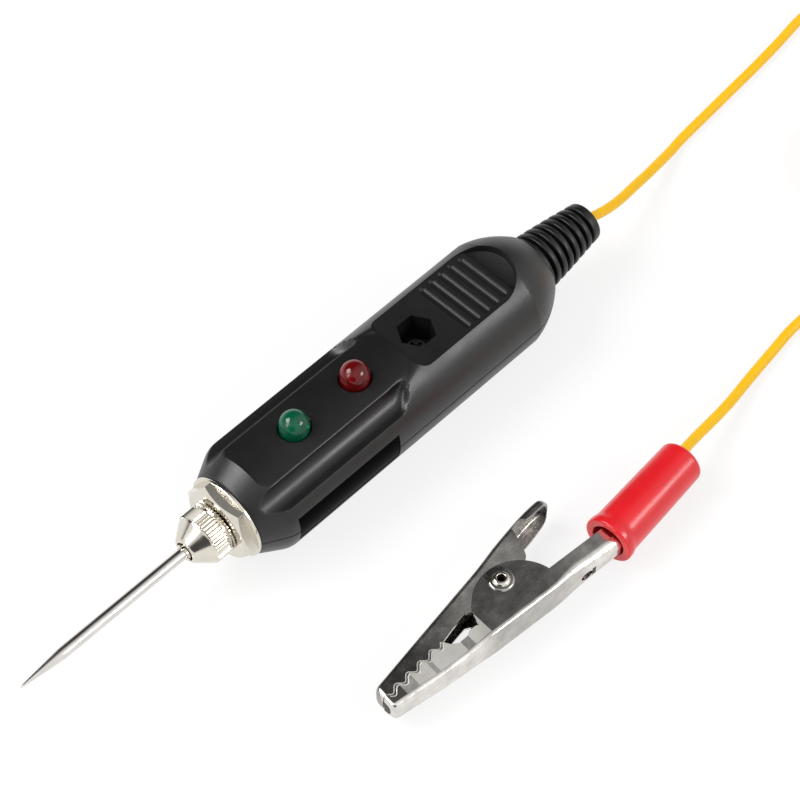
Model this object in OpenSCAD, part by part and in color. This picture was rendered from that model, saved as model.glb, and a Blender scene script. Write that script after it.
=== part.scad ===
// Automotive circuit tester: a hand-held probe with a steel needle in a knurled chuck,
// a two-part moulded housing with a green and a red indicator lamp, and a thin yellow
// lead that ends in a toothed alligator clip. Millimetres, +Z up.
// The tester lies along X with the needle towards -X, on the flat of its lower shell.

/* [Housing] */
// Length of the housing from its front face to its rear ring
body_l = 69.7; // [68:0.1:78]
// Radius of the round housing
body_r = 10.25; // [10:0.05:10.8]
// Radius of the front face behind the chuck
nose_r = 7.6; // [7.4:0.1:8.4]
// Length of the cone behind the front face
nose_l = 4.8; // [4:0.1:6]
// Radius of the rear ring around the strain relief
tail_r = 6.3; // [6:0.1:7]
// Length of the rounded shoulder before the rear ring
tail_l = 8; // [6:0.1:9]
// Wall thickness of the moulded shells
wall = 1.6; // [1.2:0.1:1.8]
// Thickness of the front wall that the chuck is bolted through
front_wall = 2.4; // [2:0.1:3]
// Thickness of the rear wall that holds the strain relief
rear_wall = 2; // [1.6:0.1:2.6]
// Height of the flat top above the housing's axis
top_flat_h = 8.5; // [8.2:0.05:8.9]
// Height of the axis above the flat underside
base_flat_h = 9.2; // [9:0.05:9.6]
// Distance from the front face to the start of the flat top
flat_start = 3.6; // [3.2:0.1:5]
// Length of the full-width part of the flat top
flat_l = 30; // [28:0.5:32]
// Radius of the grip flutes
flute_r = 2.7; // [2.2:0.1:3]
// Distance of a flute's centre line from the axis
flute_off = 11.2; // [11:0.1:11.8]
// Angle of the flutes above and below the side walls
flute_angle = 45; // [42:1:48]
// Distance from the front face to the round end of the flutes
flute_l = 30.6; // [26:0.1:33]

/* [Thumb panel] */
// Distance from the front face to the thumb panel
panel_x = 37.3; // [36.5:0.1:38.5]
// Length of the thumb panel
panel_l = 26; // [24:0.1:27]
// Width of the thumb panel
panel_w = 12.6; // [11.6:0.1:12.8]
// Depth of the thumb panel below the flat top
panel_d = 0.45; // [0.2:0.05:0.6]
// Corner radius at the front of the thumb panel
panel_corner = 2.2; // [1:0.1:3]
// Number of raised grip ribs
rib_n = 5; // [3:1:5]
// Distance between grip ribs
rib_pitch = 2.1; // [2:0.05:2.3]
// Width of a grip rib
rib_w = 1.3; // [0.9:0.1:1.5]
// Height of a grip rib above the panel
rib_h = 0.45; // [0.3:0.05:0.6]
// Distance from the front face to the first grip rib
rib_x = 50; // [49.5:0.1:50.5]

/* [Screw and side plate] */
// Distance from the front face to the housing screw
screw_x = 42.5; // [42:0.1:43.5]
// Size of the hexagonal screw well across its flats
well_af = 5.8; // [5.6:0.1:6.2]
// Height of the well's floor above the axis
well_floor_h = 2.2; // [1.8:0.1:3]
// Thickness of the well's floor
well_floor_t = 1.8; // [1.4:0.1:2]
// Wall around the screw well
well_wall = 1; // [0.8:0.1:1.2]
// Radius of the screw's shank
screw_r = 1.1; // [0.9:0.05:1.3]
// Radius of the screw's head
screw_head_r = 2.3; // [2:0.1:2.6]
// Height of the screw's head
screw_head_h = 1.5; // [1.2:0.1:1.8]
// Length of the screw's shank
screw_l = 7; // [6:0.5:8]
// Distance from the front face to the blank side plate
plate_x = 6; // [5.5:0.1:7]
// Length of the blank side plate
plate_l = 22.3; // [18:0.1:23]
// Width of the blank side plate, across the parting line
plate_w = 5.6; // [4:0.1:6]
// Thickness of the blank side plate
plate_t = 0.25; // [0.2:0.05:0.4]

/* [Lamps and board] */
// Radius of an indicator lamp
lamp_r = 2.5; // [2:0.1:2.6]
// Height of the lamp's dome centre above the flat top
lamp_rise = 1.3; // [0.8:0.1:1.8]
// Length of the lamp's straight part below its dome
lamp_l = 6.1; // [5.4:0.1:6.4]
// Radius of the flange round the lamp's foot
lamp_flange_r = 2.9; // [2.8:0.05:3.2]
// Thickness of the lamp's flange
lamp_flange_t = 1; // [0.8:0.1:1.2]
// Distance between the two wires of a lamp
lamp_wire_gap = 2.54; // [2:0.01:2.8]
// Distance from the front face to the green lamp
green_x = 14.9; // [13:0.1:16]
// Distance from the front face to the red lamp
red_x = 28.4; // [27:0.1:29.5]
// Length of the circuit board
board_l = 28.4; // [28:0.1:28.8]
// Width of the circuit board
board_w = 13; // [11:0.1:14]
// Thickness of the circuit board
board_t = 1.2; // [1:0.1:1.6]
// Distance from the front face to the circuit board
board_x = 8; // [7.8:0.1:8.4]
// Depth of the circuit board's top below the axis
board_drop = 2.4; // [2.4:0.1:3]
// Radius of a resistor's body
resistor_r = 0.95; // [0.8:0.05:1.1]
// Length of a resistor's body
resistor_l = 5.6; // [4:0.1:6]
// Distance of the resistors from the middle of the board
resistor_y = 4.6; // [4.2:0.1:4.8]
// Distance between the ends of a resistor's wires
resistor_span = 9; // [8:0.1:10]

/* [Chuck and needle] */
// Radius of the washer between hex nut and housing
washer_r = 7.6; // [7.2:0.1:7.8]
// Thickness of the washer
washer_t = 0.6; // [0.4:0.1:0.8]
// Size of the hex nut across its flats
nut_af = 13; // [12:0.1:13.2]
// Thickness of the hex nut
nut_t = 2; // [1.8:0.1:2.6]
// Angle the hex nut is turned to
nut_turn = 6.5; // [0:0.5:60]
// Radius of the chuck's threaded stem
stem_r = 3; // [2.6:0.1:3.2]
// Radius of the chuck's collar behind the front wall
collar_r = 5; // [4.6:0.1:5.4]
// Thickness of the chuck's collar
collar_t = 1.5; // [1.2:0.1:1.8]
// Radius of the solder stub behind the collar
stub_r = 2; // [1.8:0.05:2.2]
// Length of the solder stub
stub_l = 3.2; // [3:0.1:3.6]
// Outer radius of the chuck nut's knurl
knurl_r = 4.6; // [4.5:0.05:5]
// Number of teeth in the knurl
knurl_n = 30; // [24:1:34]
// Depth of the knurl's teeth
knurl_d = 0.3; // [0.2:0.05:0.4]
// Length of the narrow rear knurl
knurl_rear_l = 0.5; // [0.4:0.1:0.8]
// Length of the groove between the two knurls
knurl_gap = 0.4; // [0.3:0.1:0.6]
// Length of the wide front knurl
knurl_front_l = 2.9; // [2.4:0.1:3.2]
// Length of the chuck nut's smooth domed front
dome_l = 2.9; // [2.4:0.1:3.2]
// Radius of the chuck nut's front opening
dome_hole_r = 1.75; // [1.7:0.05:1.9]
// Length of the collet's nose in front of the chuck nut
collet_out = 0.4; // [0.3:0.05:0.8]
// Radius of the collet's nose
collet_r = 1.5; // [1.4:0.05:1.55]
// Length of the collet's slots
slot_l = 3.6; // [3:0.1:4]
// Width of the collet's slots
slot_w = 0.3; // [0.2:0.05:0.4]
// Radius of the probe needle
needle_r = 1; // [0.9:0.05:1.1]
// Length of the needle in front of the collet
needle_l = 33.5; // [30:0.1:40]
// Length of the needle's ground point
point_l = 8.5; // [6:0.1:10]
// Radius of the needle's shank inside the collet
shank_r = 0.8; // [0.7:0.05:0.85]
// Length of the needle's shank inside the collet
shank_l = 9; // [8:0.5:10]

/* [Strain relief] */
// Length of the strain relief behind the housing
relief_l = 14.4; // [12:0.1:16]
// Radius of the strain relief at the housing
relief_base_r = 5.4; // [5:0.1:5.8]
// Radius of the strain relief at its end
relief_end_r = 3.6; // [3.2:0.1:4]
// Number of rings on the strain relief
relief_n = 8; // [6:1:9]
// Depth of the grooves between the rings
relief_groove = 0.9; // [0.6:0.1:1.1]
// Radius of the neck in the rear wall
neck_r = 4; // [3.6:0.1:4.2]
// Radius of the flange inside the housing
flange_r = 4.9; // [4.6:0.1:5.1]
// Thickness of the flange inside the housing
flange_t = 1.4; // [1:0.1:1.8]

/* [Lead] */
// Diameter of the lead
lead_d = 1.8; // [1.6:0.1:1.9]
// Inner radius of the wound coil of lead
coil_in_r = 6.4; // [6:0.1:7]
// Width of the wound coil's ring
coil_w = 7.2; // [6:0.1:8]
// Height of the wound coil
coil_h = 5.4; // [4.8:0.1:6]

/* [Clip] */
// Thickness of the clip's sheet steel
sheet = 0.5; // [0.4:0.05:0.55]
// Width of the clip at its rivet
clip_w = 6.6; // [6.2:0.1:7]
// Width of the lower jaw at the nose
clip_nose_w = 4.2; // [3.8:0.1:4.6]
// Running clearance between the two jaws' side walls
jaw_gap = 0.15; // [0.1:0.05:0.2]
// Distance from the rivet to the nose
nose_reach = 27.2; // [26:0.1:29]
// Distance from the rivet down to the lower jaw's base
base_drop = 6.9; // [6.6:0.1:7.2]
// Distance from the rivet up to the upper jaw's spine
spine_rise = 4.73; // [4.5:0.01:4.9]
// Angle between the upper jaw's spine and the clip's length
spine_angle = 10.4; // [9.5:0.1:11]
// Length of the rising part of the lower jaw's base
base_rise_l = 11.2; // [9:0.1:12]
// Angle of the rising part of the lower jaw's base
base_rise_angle = 5.8; // [4.5:0.1:7]
// Angle of the rest of the lower jaw's base
base_angle = 2.1; // [1.5:0.1:2.5]
// Distance between teeth
tooth_pitch = 2.6; // [2.3:0.05:2.8]
// Height of the teeth
tooth_h = 0.95; // [0.5:0.05:1]
// Gap between the closed teeth
tooth_gap = 0.25; // [0.2:0.05:0.4]
// Distance from the rivet to the end of the teeth
tooth_start = 14.2; // [13:0.1:15]
// Radius of the lower jaw's round ears
ear_r = 7.7; // [7.2:0.1:8]
// Distance from the rivet to the tip of the thumb lever
lever_reach = 16.4; // [15:0.1:17]
// Angle between the thumb lever and the clip's length
lever_angle = 10.3; // [8:0.1:11]
// Depth of the thumb lever's upper rim
lever_rim = 1.1; // [0.9:0.1:1.4]
// Depth of the thumb lever's lower rim where it leaves the ears
lever_root = 2.7; // [2.2:0.1:3]
// Radius of the folds along the clip's edges
fold_r = 1.3; // [0.8:0.1:1.4]
// Radius of the folds along the tail channel
tail_fold_r = 1.8; // [1.2:0.1:1.9]
// Distance from the rivet to the sleeve's mouth
sleeve_reach = 19; // [18.5:0.1:20]
// Height of the tail channel's walls
tail_h = 3.4; // [3:0.1:3.6]
// Width of the tail channel at the sleeve
tail_w = 4.2; // [4:0.1:4.4]
// Radius of the rivet's shaft
rivet_r = 1.1; // [1:0.05:1.2]
// Radius of the hole through the rivet
rivet_hole_r = 0.6; // [0.4:0.05:0.7]
// Radius of the rivet's rolled lips
rivet_lip_r = 1.55; // [1.45:0.05:1.7]
// Height of the rivet's rolled lips
rivet_lip_h = 0.5; // [0.4:0.05:0.55]
// Radius of the raised ring round the rivet
boss_r = 2.2; // [2.1:0.05:2.5]
// Height of the raised ring round the rivet
boss_h = 0.3; // [0.2:0.05:0.35]
// Radius of the spring wire
spring_wire_r = 0.3; // [0.25:0.01:0.32]
// Mean radius of the spring's coil
spring_coil_r = 1.8; // [1.75:0.05:1.9]

/* [Sleeve] */
// Length of the clip's sleeve
sleeve_l = 20.3; // [17:0.1:22]
// Radius of the sleeve behind its mouth
sleeve_r = 4.1; // [4:0.05:4.2]
// Radius of the sleeve at its closed end
sleeve_end_r = 3.85; // [3.8:0.05:3.95]
// Radius of the lip round the sleeve's mouth
sleeve_lip_r = 4.4; // [4.3:0.05:4.4]
// Thickness of the sleeve's wall
sleeve_wall = 0.8; // [0.6:0.05:0.8]
// Angle of the sleeve to the clip's base
sleeve_angle = 7.7; // [5:0.1:9]
// Distance of the lead from the sleeve's centre line at its closed end
exit_off = 0.4; // [0:0.1:1.2]
// Height of the lead above the sleeve's centre line at its closed end
exit_rise = 1.7; // [0.8:0.1:1.8]

/* [Hidden] */

// Faces on a full circle
$fn = 48;
// Clearance of a moving or sliding fit, on the radius
fit = 0.05;
// Clearance between parts that are laid into each other
loose = 0.1;
// Overlap that makes a cut pass right through
eps = 0.01;

// Stations along the axis, from the housing's front face
nut_face = -washer_t - nut_t;
chuck_l = knurl_rear_l + knurl_gap + knurl_front_l + dome_l;
chuck_start = nut_face - loose;
dome_x = chuck_start - chuck_l;
collet_x = dome_x - collet_out;
tip_x = collet_x - needle_l;
relief_x = body_l + relief_l;
// The origin is under the middle of the tester's length
mid_x = (tip_x + relief_x) / 2;

// Inner faces of the housing
led_seat_h = top_flat_h + lamp_rise - lamp_l;
guide_h = led_seat_h + lamp_flange_t + loose;
well_r = well_af / sqrt(3);
boss_out_r = well_r + well_wall;
panel_z = top_flat_h - panel_d;

// Clip frame: rivet at the origin, nose towards -X, spine towards +Y, rivet axis along Z.
// Both the clip and the lead keep their place relative to the end of the strain relief.
clip_z = sleeve_lip_r;
clip_at = [relief_x - 62.1, -38.3, clip_z];
clip_turn = -3;
half_w = clip_w / 2;
upper_half = half_w - sheet - jaw_gap;
spine_slope = tan(spine_angle);
tail_top = tail_h - base_drop;
sleeve_y = tail_h / 2 - base_drop + 0.35;
ear_at = [-0.5, 2.7 - ear_r];
nose_x = -nose_reach;
rise_x = nose_x + base_rise_l;
tail_x = 7;

// Route of the lead from the strain relief to the coil, from the strain relief's end
lead_r = lead_d / 2;
route_a = [[-3, 0, base_flat_h], [0, 0, base_flat_h], [3, 0, 8.2], [6.2, 0.1, 7.1], [10.2, 0.6, 5.8],
           [14.7, 1.4, 4.6], [19.3, 2.2, 3.4], [23.9, 3.1, 2.2], [28, 3.9, 1.3], [32, 4.6, lead_r],
           [39.4, 5.2, lead_r], [47, 5.8, lead_r], [54.7, 6.4, lead_r], [62.4, 7.2, lead_r],
           [70, 8.1, lead_r], [75.5, 7.4, lead_r], [78.6, 3.5, lead_r], [78.9, -2.5, lead_r],
           [76.3, -9.5, lead_r], [71.5, -16, lead_r], [67, -21.8, lead_r], [64.7, -27, lead_r]];
// Centre of the coil, and the route from the coil to the clip's sleeve
coil_at = [52, -27];
route_b = [[52, -39.7, lead_r], [43, -39.8, lead_r], [33, -38.4, lead_r], [23, -37, lead_r],
           [13.3, -36.8, lead_r], [7.2, -37.4, lead_r], [-0.9, -38.5, 1.3], [-7.7, -39.7, 2.2],
           [-13.2, -40.5, 3.4], [-18.7, -41.2, 4.7]];
// Route of the lead inside the housing, from the board's solder pad to the strain relief
pad_z = lead_r - board_drop;
pad_x = board_x + board_l - 1.5;
route_c = [[pad_x, 5.2, pad_z], [pad_x + 3, 6, pad_z], [screw_x, 6.6, pad_z - 0.2],
           [screw_x + 5, 6, -1.2], [screw_x + 10, 3.4, -0.6], [body_l - 10, 0.9, 0],
           [body_l - 5, 0, 0], [relief_x - 3, 0, 0]];

function unit(v) = v / norm(v);
// Points of a smooth curve through the points p, with k steps between neighbours
function bend(a, b, c, d, t) = 0.5 * (2 * b + (c - a) * t + (2 * a - 5 * b + 4 * c - d) * t * t
                                      + (3 * b - a - 3 * c + d) * t * t * t);
function smooth(p, k) = concat([for (i = [0 : len(p) - 2], j = [0 : k - 1])
    bend(p[max(i - 1, 0)], p[i], p[i + 1], p[min(i + 2, len(p) - 1)], j / k)], [p[len(p) - 1]]);

// The same points, none of them lower than a lead that lies on the floor
function lifted(p) = [for (q = p) [q[0], q[1], max(q[2], lead_r)]];

// A round tube of radius r along the points of path
module tube(path, r, sides = 8) {
    n = len(path);
    way = [for (i = [0 : n - 1]) unit(path[min(i + 1, n - 1)] - path[max(i - 1, 0)])];
    rim = [for (i = [0 : n - 1])
        let (s = unit(cross(way[i], [0, 0, 1])), u = cross(s, way[i]))
        for (k = [0 : sides - 1]) path[i] + r * (cos(360 * k / sides) * s + sin(360 * k / sides) * u)];
    skin = [for (i = [0 : n - 2], k = [0 : sides - 1])
        let (a = i * sides + k, b = i * sides + (k + 1) % sides)
        for (f = [[a, b, b + sides], [a, b + sides, a + sides]]) f];
    ends = [[for (k = [0 : sides - 1]) sides - 1 - k], [for (k = [0 : sides - 1]) (n - 1) * sides + k]];
    polyhedron(points = rim, faces = concat(skin, ends));
}

// Places a child that is drawn along the tester's axis, from the housing's front face
module on_tester() {
    translate([-mid_x, 0, base_flat_h])
        children();
}

// Places a child that is drawn from the end of the strain relief, on the floor
module on_lead() {
    translate([relief_x - mid_x, 0, 0])
        children();
}

// Places a child that is drawn in the clip's own frame
module on_clip() {
    translate([clip_at[0] - mid_x, clip_at[1], clip_at[2]])
        rotate([0, 0, clip_turn])
            children();
}

// Places a child that is drawn along the sleeve's axis, from its mouth towards +X
module on_sleeve() {
    on_clip()
        translate([sleeve_reach, sleeve_y, 0])
            rotate([0, 0, sleeve_angle])
                children();
}

// A cylinder along X from a to b
module rod(a, b, r, r_b = undef) {
    translate([a, 0, 0])
        rotate([0, 90, 0])
            cylinder(h = b - a, r1 = r, r2 = is_undef(r_b) ? r : r_b);
}

// Turns a profile of [station, radius] points about the X axis
module turned(profile) {
    rotate([0, 90, 0])
        rotate_extrude()
            polygon([for (p = profile) [p[1], p[0]]]);
}

// Radius of the rear shoulder at the share s of its length
function shoulder(s) = tail_r + (body_r - tail_r) * (1 - pow(s, 1.6));

// The housing's outer form, or the same form drawn in by a wall's thickness
module housing_form(inset, front, rear) {
    steps = 8;
    nose_slope = (body_r - nose_r) / nose_l;
    front_r = nose_r + nose_slope * front;
    difference() {
        turned(concat([[front, 0], [front, front_r - inset], [nose_l, body_r - inset]],
            [for (i = [0 : steps]) let (x = body_l - tail_l + tail_l * i / steps)
                if (x < body_l - rear) [x, shoulder(i / steps) - inset]],
            [[body_l - rear, shoulder(1 - rear / tail_l) - inset], [body_l - rear, 0]]));
        for (side = [-1, 1], up = [-1, 1])
            flute(side, up, inset);
        translate([-1, -20, -20 - base_flat_h + inset])
            cube([body_l + 2, 40, 20]);
    }
}

// A grip flute's cutter, with a ball end towards the thumb panel
module flute(side, up, inset) {
    rotate([up * side * flute_angle, 0, 0])
        translate([0, side * flute_off, 0]) {
            rod(-1, flute_l, flute_r + inset);
            translate([flute_l, 0, 0])
                sphere(r = flute_r + inset);
        }
}

// Outline of the flat top between the chuck and the thumb panel
module flat_outline() {
    end = flat_start + flat_l;
    polygon([[flat_start, -body_r], [end, -body_r], [end, -panel_w / 2], [panel_x + 1, -panel_w / 4],
             [panel_x + 1, panel_w / 4], [end, panel_w / 2], [end, body_r], [flat_start, body_r]]);
}

// Outline of the thumb panel, round towards the strain relief
module panel_outline() {
    half = panel_w / 2;
    end = panel_x + panel_l - half;
    translate([panel_x + panel_corner, -half])
        square([end - panel_x - panel_corner, panel_w]);
    translate([panel_x, panel_corner - half])
        square([panel_corner + eps, panel_w - 2 * panel_corner]);
    for (side = [-1, 1])
        translate([panel_x + panel_corner, side * (half - panel_corner)])
            circle(r = panel_corner);
    translate([end, 0])
        circle(r = half);
}

// One grip rib with round ends, half sunk in the panel
module grip_rib(x) {
    rise = panel_z + rib_h - rib_w / 2;
    reach = panel_w / 2 - 0.2 - rib_w / 2;
    translate([x, 0, rise]) {
        rotate([90, 0, 0])
            cylinder(h = 2 * reach, r = rib_w / 2, center = true);
        for (side = [-1, 1])
            translate([0, side * reach, 0])
                sphere(r = rib_w / 2, $fn = 32);
    }
}

// Rounded recess for the side plate, grown by g
module plate_form(inner, outer, g) {
    intersection() {
        difference() {
            rod(plate_x - g, plate_x + plate_l + g, outer);
            rod(plate_x - 1, plate_x + plate_l + 1, inner);
        }
        translate([plate_x - g, -2 * body_r, -plate_w / 2 - g])
            cube([plate_l + 2 * g, 2 * body_r, plate_w + 2 * g]);
    }
}

// What both shells are cut from: the hollow housing with the holes on its axis
module housing_walls() {
    difference() {
        housing_form(0, 0, 0);
        housing_cavity();
        rod(-1, front_wall + 1, stem_r + fit);
        rod(body_l - rear_wall - 1, body_l + 1, neck_r + fit);
        plate_form(body_r - plate_t - loose, body_r + 1, loose);
    }
}

// The space inside the housing
module housing_cavity() {
    difference() {
        housing_form(wall, front_wall, rear_wall);
        translate([0, -20, panel_z - wall])
            cube([body_l, 40, 20]);
    }
}

module half_space(up) {
    translate([-1, -20, up > 0 ? 0 : -30])
        cube([body_l + 2, 40, 30]);
}

module upper_shell() {
    color("#242425")
    on_tester()
    difference() {
        union() {
            difference() {
                intersection() {
                    housing_walls();
                    half_space(1);
                }
                translate([0, 0, top_flat_h])
                    linear_extrude(body_r)
                        flat_outline();
                translate([0, 0, panel_z])
                    linear_extrude(body_r)
                        panel_outline();
            }
            // Tube round the screw well, down to its floor
            translate([screw_x, 0, well_floor_h - well_floor_t])
                cylinder(h = panel_z - wall / 2 - well_floor_h + well_floor_t, r = boss_out_r);
            // Guides that the lamps' flanges rest against
            for (x = [green_x, red_x])
                translate([x, 0, guide_h])
                    cylinder(h = panel_z - wall / 2 - guide_h, r = lamp_r + 1.2);
            for (i = [0 : rib_n - 1])
                grip_rib(rib_x + i * rib_pitch);
        }
        // Hexagonal well, and the hole for the screw's shank in its floor
        translate([screw_x, 0, well_floor_h])
            cylinder(h = body_r, r = well_r, $fn = 6);
        translate([screw_x, 0, -1])
            cylinder(h = body_r, r = screw_r + loose);
        for (x = [green_x, red_x])
            translate([x, 0, 0])
                cylinder(h = body_r, r = lamp_r + loose);
    }
}

module lower_shell() {
    post_top = well_floor_h - well_floor_t;
    floor_z = wall - base_flat_h;
    color("#222223")
    on_tester()
    difference() {
        union() {
            intersection() {
                housing_walls();
                half_space(-1);
            }
            // Post that the housing screw bites into
            translate([screw_x, 0, floor_z - wall / 2])
                cylinder(h = post_top - floor_z + wall / 2, r = screw_r + 1.7);
            // Two ribs that carry the circuit board
            for (x = [board_x + 2, board_x + board_l - 3.2])
                translate([x, 1 - board_w / 2, floor_z - wall / 2])
                    cube([1.2, board_w - 2, -board_drop - board_t - floor_z + wall / 2]);
        }
        translate([screw_x, 0, well_floor_h - screw_l - 0.5])
            cylinder(h = body_r, r = screw_r + fit);
    }
}

module side_plate() {
    color("#101011")
    on_tester()
        plate_form(body_r - plate_t - loose, body_r - loose, 0);
}

// An indicator lamp with its two wires, from its dome down to the board
module lamp(x) {
    wire_end = -board_drop - board_t - 0.8;
    on_tester()
    translate([x, 0, led_seat_h]) {
        cylinder(h = lamp_flange_t, r = lamp_flange_r);
        cylinder(h = lamp_l, r = lamp_r);
        translate([0, 0, lamp_l])
            sphere(r = lamp_r);
        for (side = [-1, 1])
            translate([side * lamp_wire_gap / 2, 0, wire_end - led_seat_h])
                cylinder(h = led_seat_h - wire_end + 0.2, r = 0.27, $fn = 16);
    }
}

module green_lamp() {
    color("#0d9a6c", 0.9) lamp(green_x);
}

module red_lamp() {
    color("#b21226", 0.9) lamp(red_x);
}

module circuit_board() {
    color("#b58a4a")
    on_tester()
    difference() {
        translate([board_x, -board_w / 2, -board_drop - board_t])
            cube([board_l, board_w, board_t]);
        for (x = [green_x, red_x], side = [-1, 1])
            translate([x + side * lamp_wire_gap / 2, 0, -board_drop - board_t - 1])
                cylinder(h = board_t + 2, r = 0.4, $fn = 24);
        for (y = [-resistor_y, resistor_y], side = [-1, 1])
            translate([(green_x + red_x) / 2 + side * resistor_span / 2, y, -board_drop - board_t - 1])
                cylinder(h = board_t + 2, r = 0.4, $fn = 24);
    }
}

// A resistor with its two bent wires, lying on the board at the distance y from its middle
module resistor(y) {
    lift = resistor_r + 0.1;
    x = (green_x + red_x) / 2;
    wire_r = 0.22;
    half = resistor_l / 2;
    bulb = [[half - 1.9, resistor_r * 0.82], [half - 1.5, resistor_r], [half - 0.5, resistor_r],
            [half - 0.1, resistor_r * 0.7], [half, wire_r], [resistor_span / 2, wire_r]];
    on_tester()
    translate([x, y, lift - board_drop]) {
        turned(concat([[-resistor_span / 2, 0]], [for (i = [5 : -1 : 0]) [-bulb[i][0], bulb[i][1]]],
                      bulb, [[resistor_span / 2, 0]]));
        for (side = [-1, 1])
            translate([side * resistor_span / 2, 0, -lift - board_t - 0.5])
                cylinder(h = lift + board_t + 0.5 + wire_r, r = wire_r + 0.04, $fn = 16);
    }
}

module green_resistor() {
    color("#c9ae83") resistor(resistor_y);
}

module red_resistor() {
    color("#c9ae83") resistor(-resistor_y);
}

// Brass strip that carries the current from the chuck's stub to the board
module contact_strip() {
    strip_t = board_drop - stub_r;
    color("#c7a04a")
    on_tester()
        translate([front_wall + collar_t + 0.2, -1.4, -board_drop])
            cube([board_x + 3 - front_wall - collar_t, 2.8, strip_t]);
}

module inner_lead() {
    color("#f0b915")
    on_tester()
        tube(smooth(route_c, 2), lead_r);
}

// Threaded stem with a collar inside the housing and a slotted collet in front
module chuck_body() {
    seat = dome_x + dome_l + 0.4;
    color("#b9b6ae")
    on_tester()
    difference() {
        union() {
            rod(seat, front_wall + eps, stem_r);
            rod(collet_x + collet_out + 0.4, seat, collet_r, stem_r);
            rod(collet_x, collet_x + collet_out + 0.4, collet_r);
            rod(front_wall, front_wall + collar_t, collar_r);
            rod(front_wall + collar_t - eps, front_wall + collar_t + stub_l, stub_r);
        }
        rod(collet_x - 1, collet_x + shank_l + 0.2, shank_r + fit);
        for (turn = [0, 90])
            rotate([turn, 0, 0])
                translate([collet_x - 1, -slot_w / 2, -stem_r - 1])
                    cube([slot_l + 1, slot_w, 2 * stem_r + 2]);
    }
}

module washer() {
    color("#c9c7c0")
    on_tester()
    difference() {
        rod(-washer_t, 0, washer_r);
        rod(-washer_t - 1, 1, stem_r + fit);
    }
}

module hex_nut() {
    corner_r = nut_af / sqrt(3);
    flat_r = nut_af / 2;
    color("#d2d0c9")
    on_tester()
    difference() {
        intersection() {
            rotate([nut_turn, 0, 0])
                translate([nut_face, 0, 0])
                    rotate([0, 90, 0])
                        cylinder(h = nut_t, r = corner_r, $fn = 6);
            turned([[nut_face, 0], [nut_face, flat_r - 0.3], [nut_face + 0.9, corner_r + 0.1],
                    [-washer_t, corner_r + 0.1], [-washer_t, 0]]);
        }
        rod(nut_face - 1, 1, stem_r + fit);
    }
}

// A ring of straight knurl teeth from a to b
module knurl(a, b) {
    translate([a, 0, 0])
        rotate([0, 90, 0])
            linear_extrude(b - a)
                polygon([for (i = [0 : 2 * knurl_n - 1])
                    let (r = knurl_r - (i % 2) * knurl_d, turn = 180 * i / knurl_n)
                    [r * cos(turn), r * sin(turn)]]);
}

module chuck_nut() {
    rear_end = chuck_start - knurl_rear_l;
    front_start = rear_end - knurl_gap;
    front_end = front_start - knurl_front_l;
    groove_r = knurl_r - knurl_d - 0.2;
    color("#d6d3cc")
    on_tester()
    difference() {
        union() {
            knurl(rear_end, chuck_start);
            rod(front_start, rear_end, groove_r);
            knurl(front_end, front_start);
            turned([[dome_x, 0], [dome_x, dome_hole_r + 0.3], [dome_x + 0.3 * dome_l, 0.64 * knurl_r],
                    [dome_x + 0.7 * dome_l, 0.86 * knurl_r], [front_end, knurl_r - knurl_d / 2],
                    [front_end, 0]]);
        }
        rod(dome_x + dome_l + 0.4, 1, stem_r + loose);
        rod(dome_x + 0.3, dome_x + dome_l + 0.4 + eps, dome_hole_r, stem_r + loose);
        rod(dome_x - 1, dome_x + 0.3 + eps, dome_hole_r);
    }
}

module probe_needle() {
    color("#aeb0b0")
    on_tester() {
        rod(collet_x - eps, collet_x + shank_l, shank_r);
        rod(tip_x + point_l, collet_x, needle_r);
        rod(tip_x + 0.15, tip_x + point_l, 0.15, needle_r);
        translate([tip_x + 0.15, 0, 0])
            sphere(r = 0.15, $fn = 24);
    }
}

module housing_screw() {
    color("#8d8f92")
    on_tester()
    translate([screw_x, 0, well_floor_h])
    difference() {
        union() {
            translate([0, 0, 1 - screw_l])
                cylinder(h = screw_l - 1 + eps, r = screw_r);
            translate([0, 0, -screw_l])
                cylinder(h = 1, r1 = 0.2, r2 = screw_r);
            cylinder(h = screw_head_h * 0.6, r = screw_head_r);
            translate([0, 0, screw_head_h * 0.6])
                cylinder(h = screw_head_h * 0.4, r1 = screw_head_r, r2 = screw_head_r * 0.7);
        }
        for (turn = [0, 90])
            rotate([0, 0, turn])
                translate([-screw_head_r * 0.55, -0.3, screw_head_h - 0.9])
                    cube([screw_head_r * 1.1, 0.6, 1]);
    }
}

// Outline of the ribbed part: a ring and a groove for each step
function relief_r(s) = relief_base_r + (relief_end_r - relief_base_r) * pow(s, 1.25);

module strain_relief() {
    pitch = relief_l / relief_n;
    ring = 0.58 * pitch;
    color("#1c1c1d")
    on_tester()
    difference() {
        union() {
            turned(concat([[body_l, 0]],
                [for (i = [0 : relief_n - 1])
                    let (x = body_l + i * pitch, r = relief_r(i / relief_n), r_b = relief_r((i + 0.5) / relief_n))
                    for (p = [[x, r - 0.2], [x + 0.18, r], [x + ring - 0.18, r_b],
                              [x + ring, r_b - 0.2], [x + ring, r - relief_groove],
                              [x + pitch, r_b - relief_groove]])
                        if (i < relief_n - 1 || p[0] < x + ring - 0.1) p],
                [[relief_x, relief_r(1)], [relief_x, 0]]));
            rod(body_l - rear_wall - eps, body_l + eps, neck_r);
            rod(body_l - rear_wall - flange_t, body_l - rear_wall, flange_r);
        }
        rod(body_l - rear_wall - flange_t - 1, relief_x + 1, lead_r + fit);
    }
}

module lead_to_coil() {
    color("#f3bd18")
    on_lead()
        tube(lifted(smooth(route_a, 2)), lead_r);
}

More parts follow.
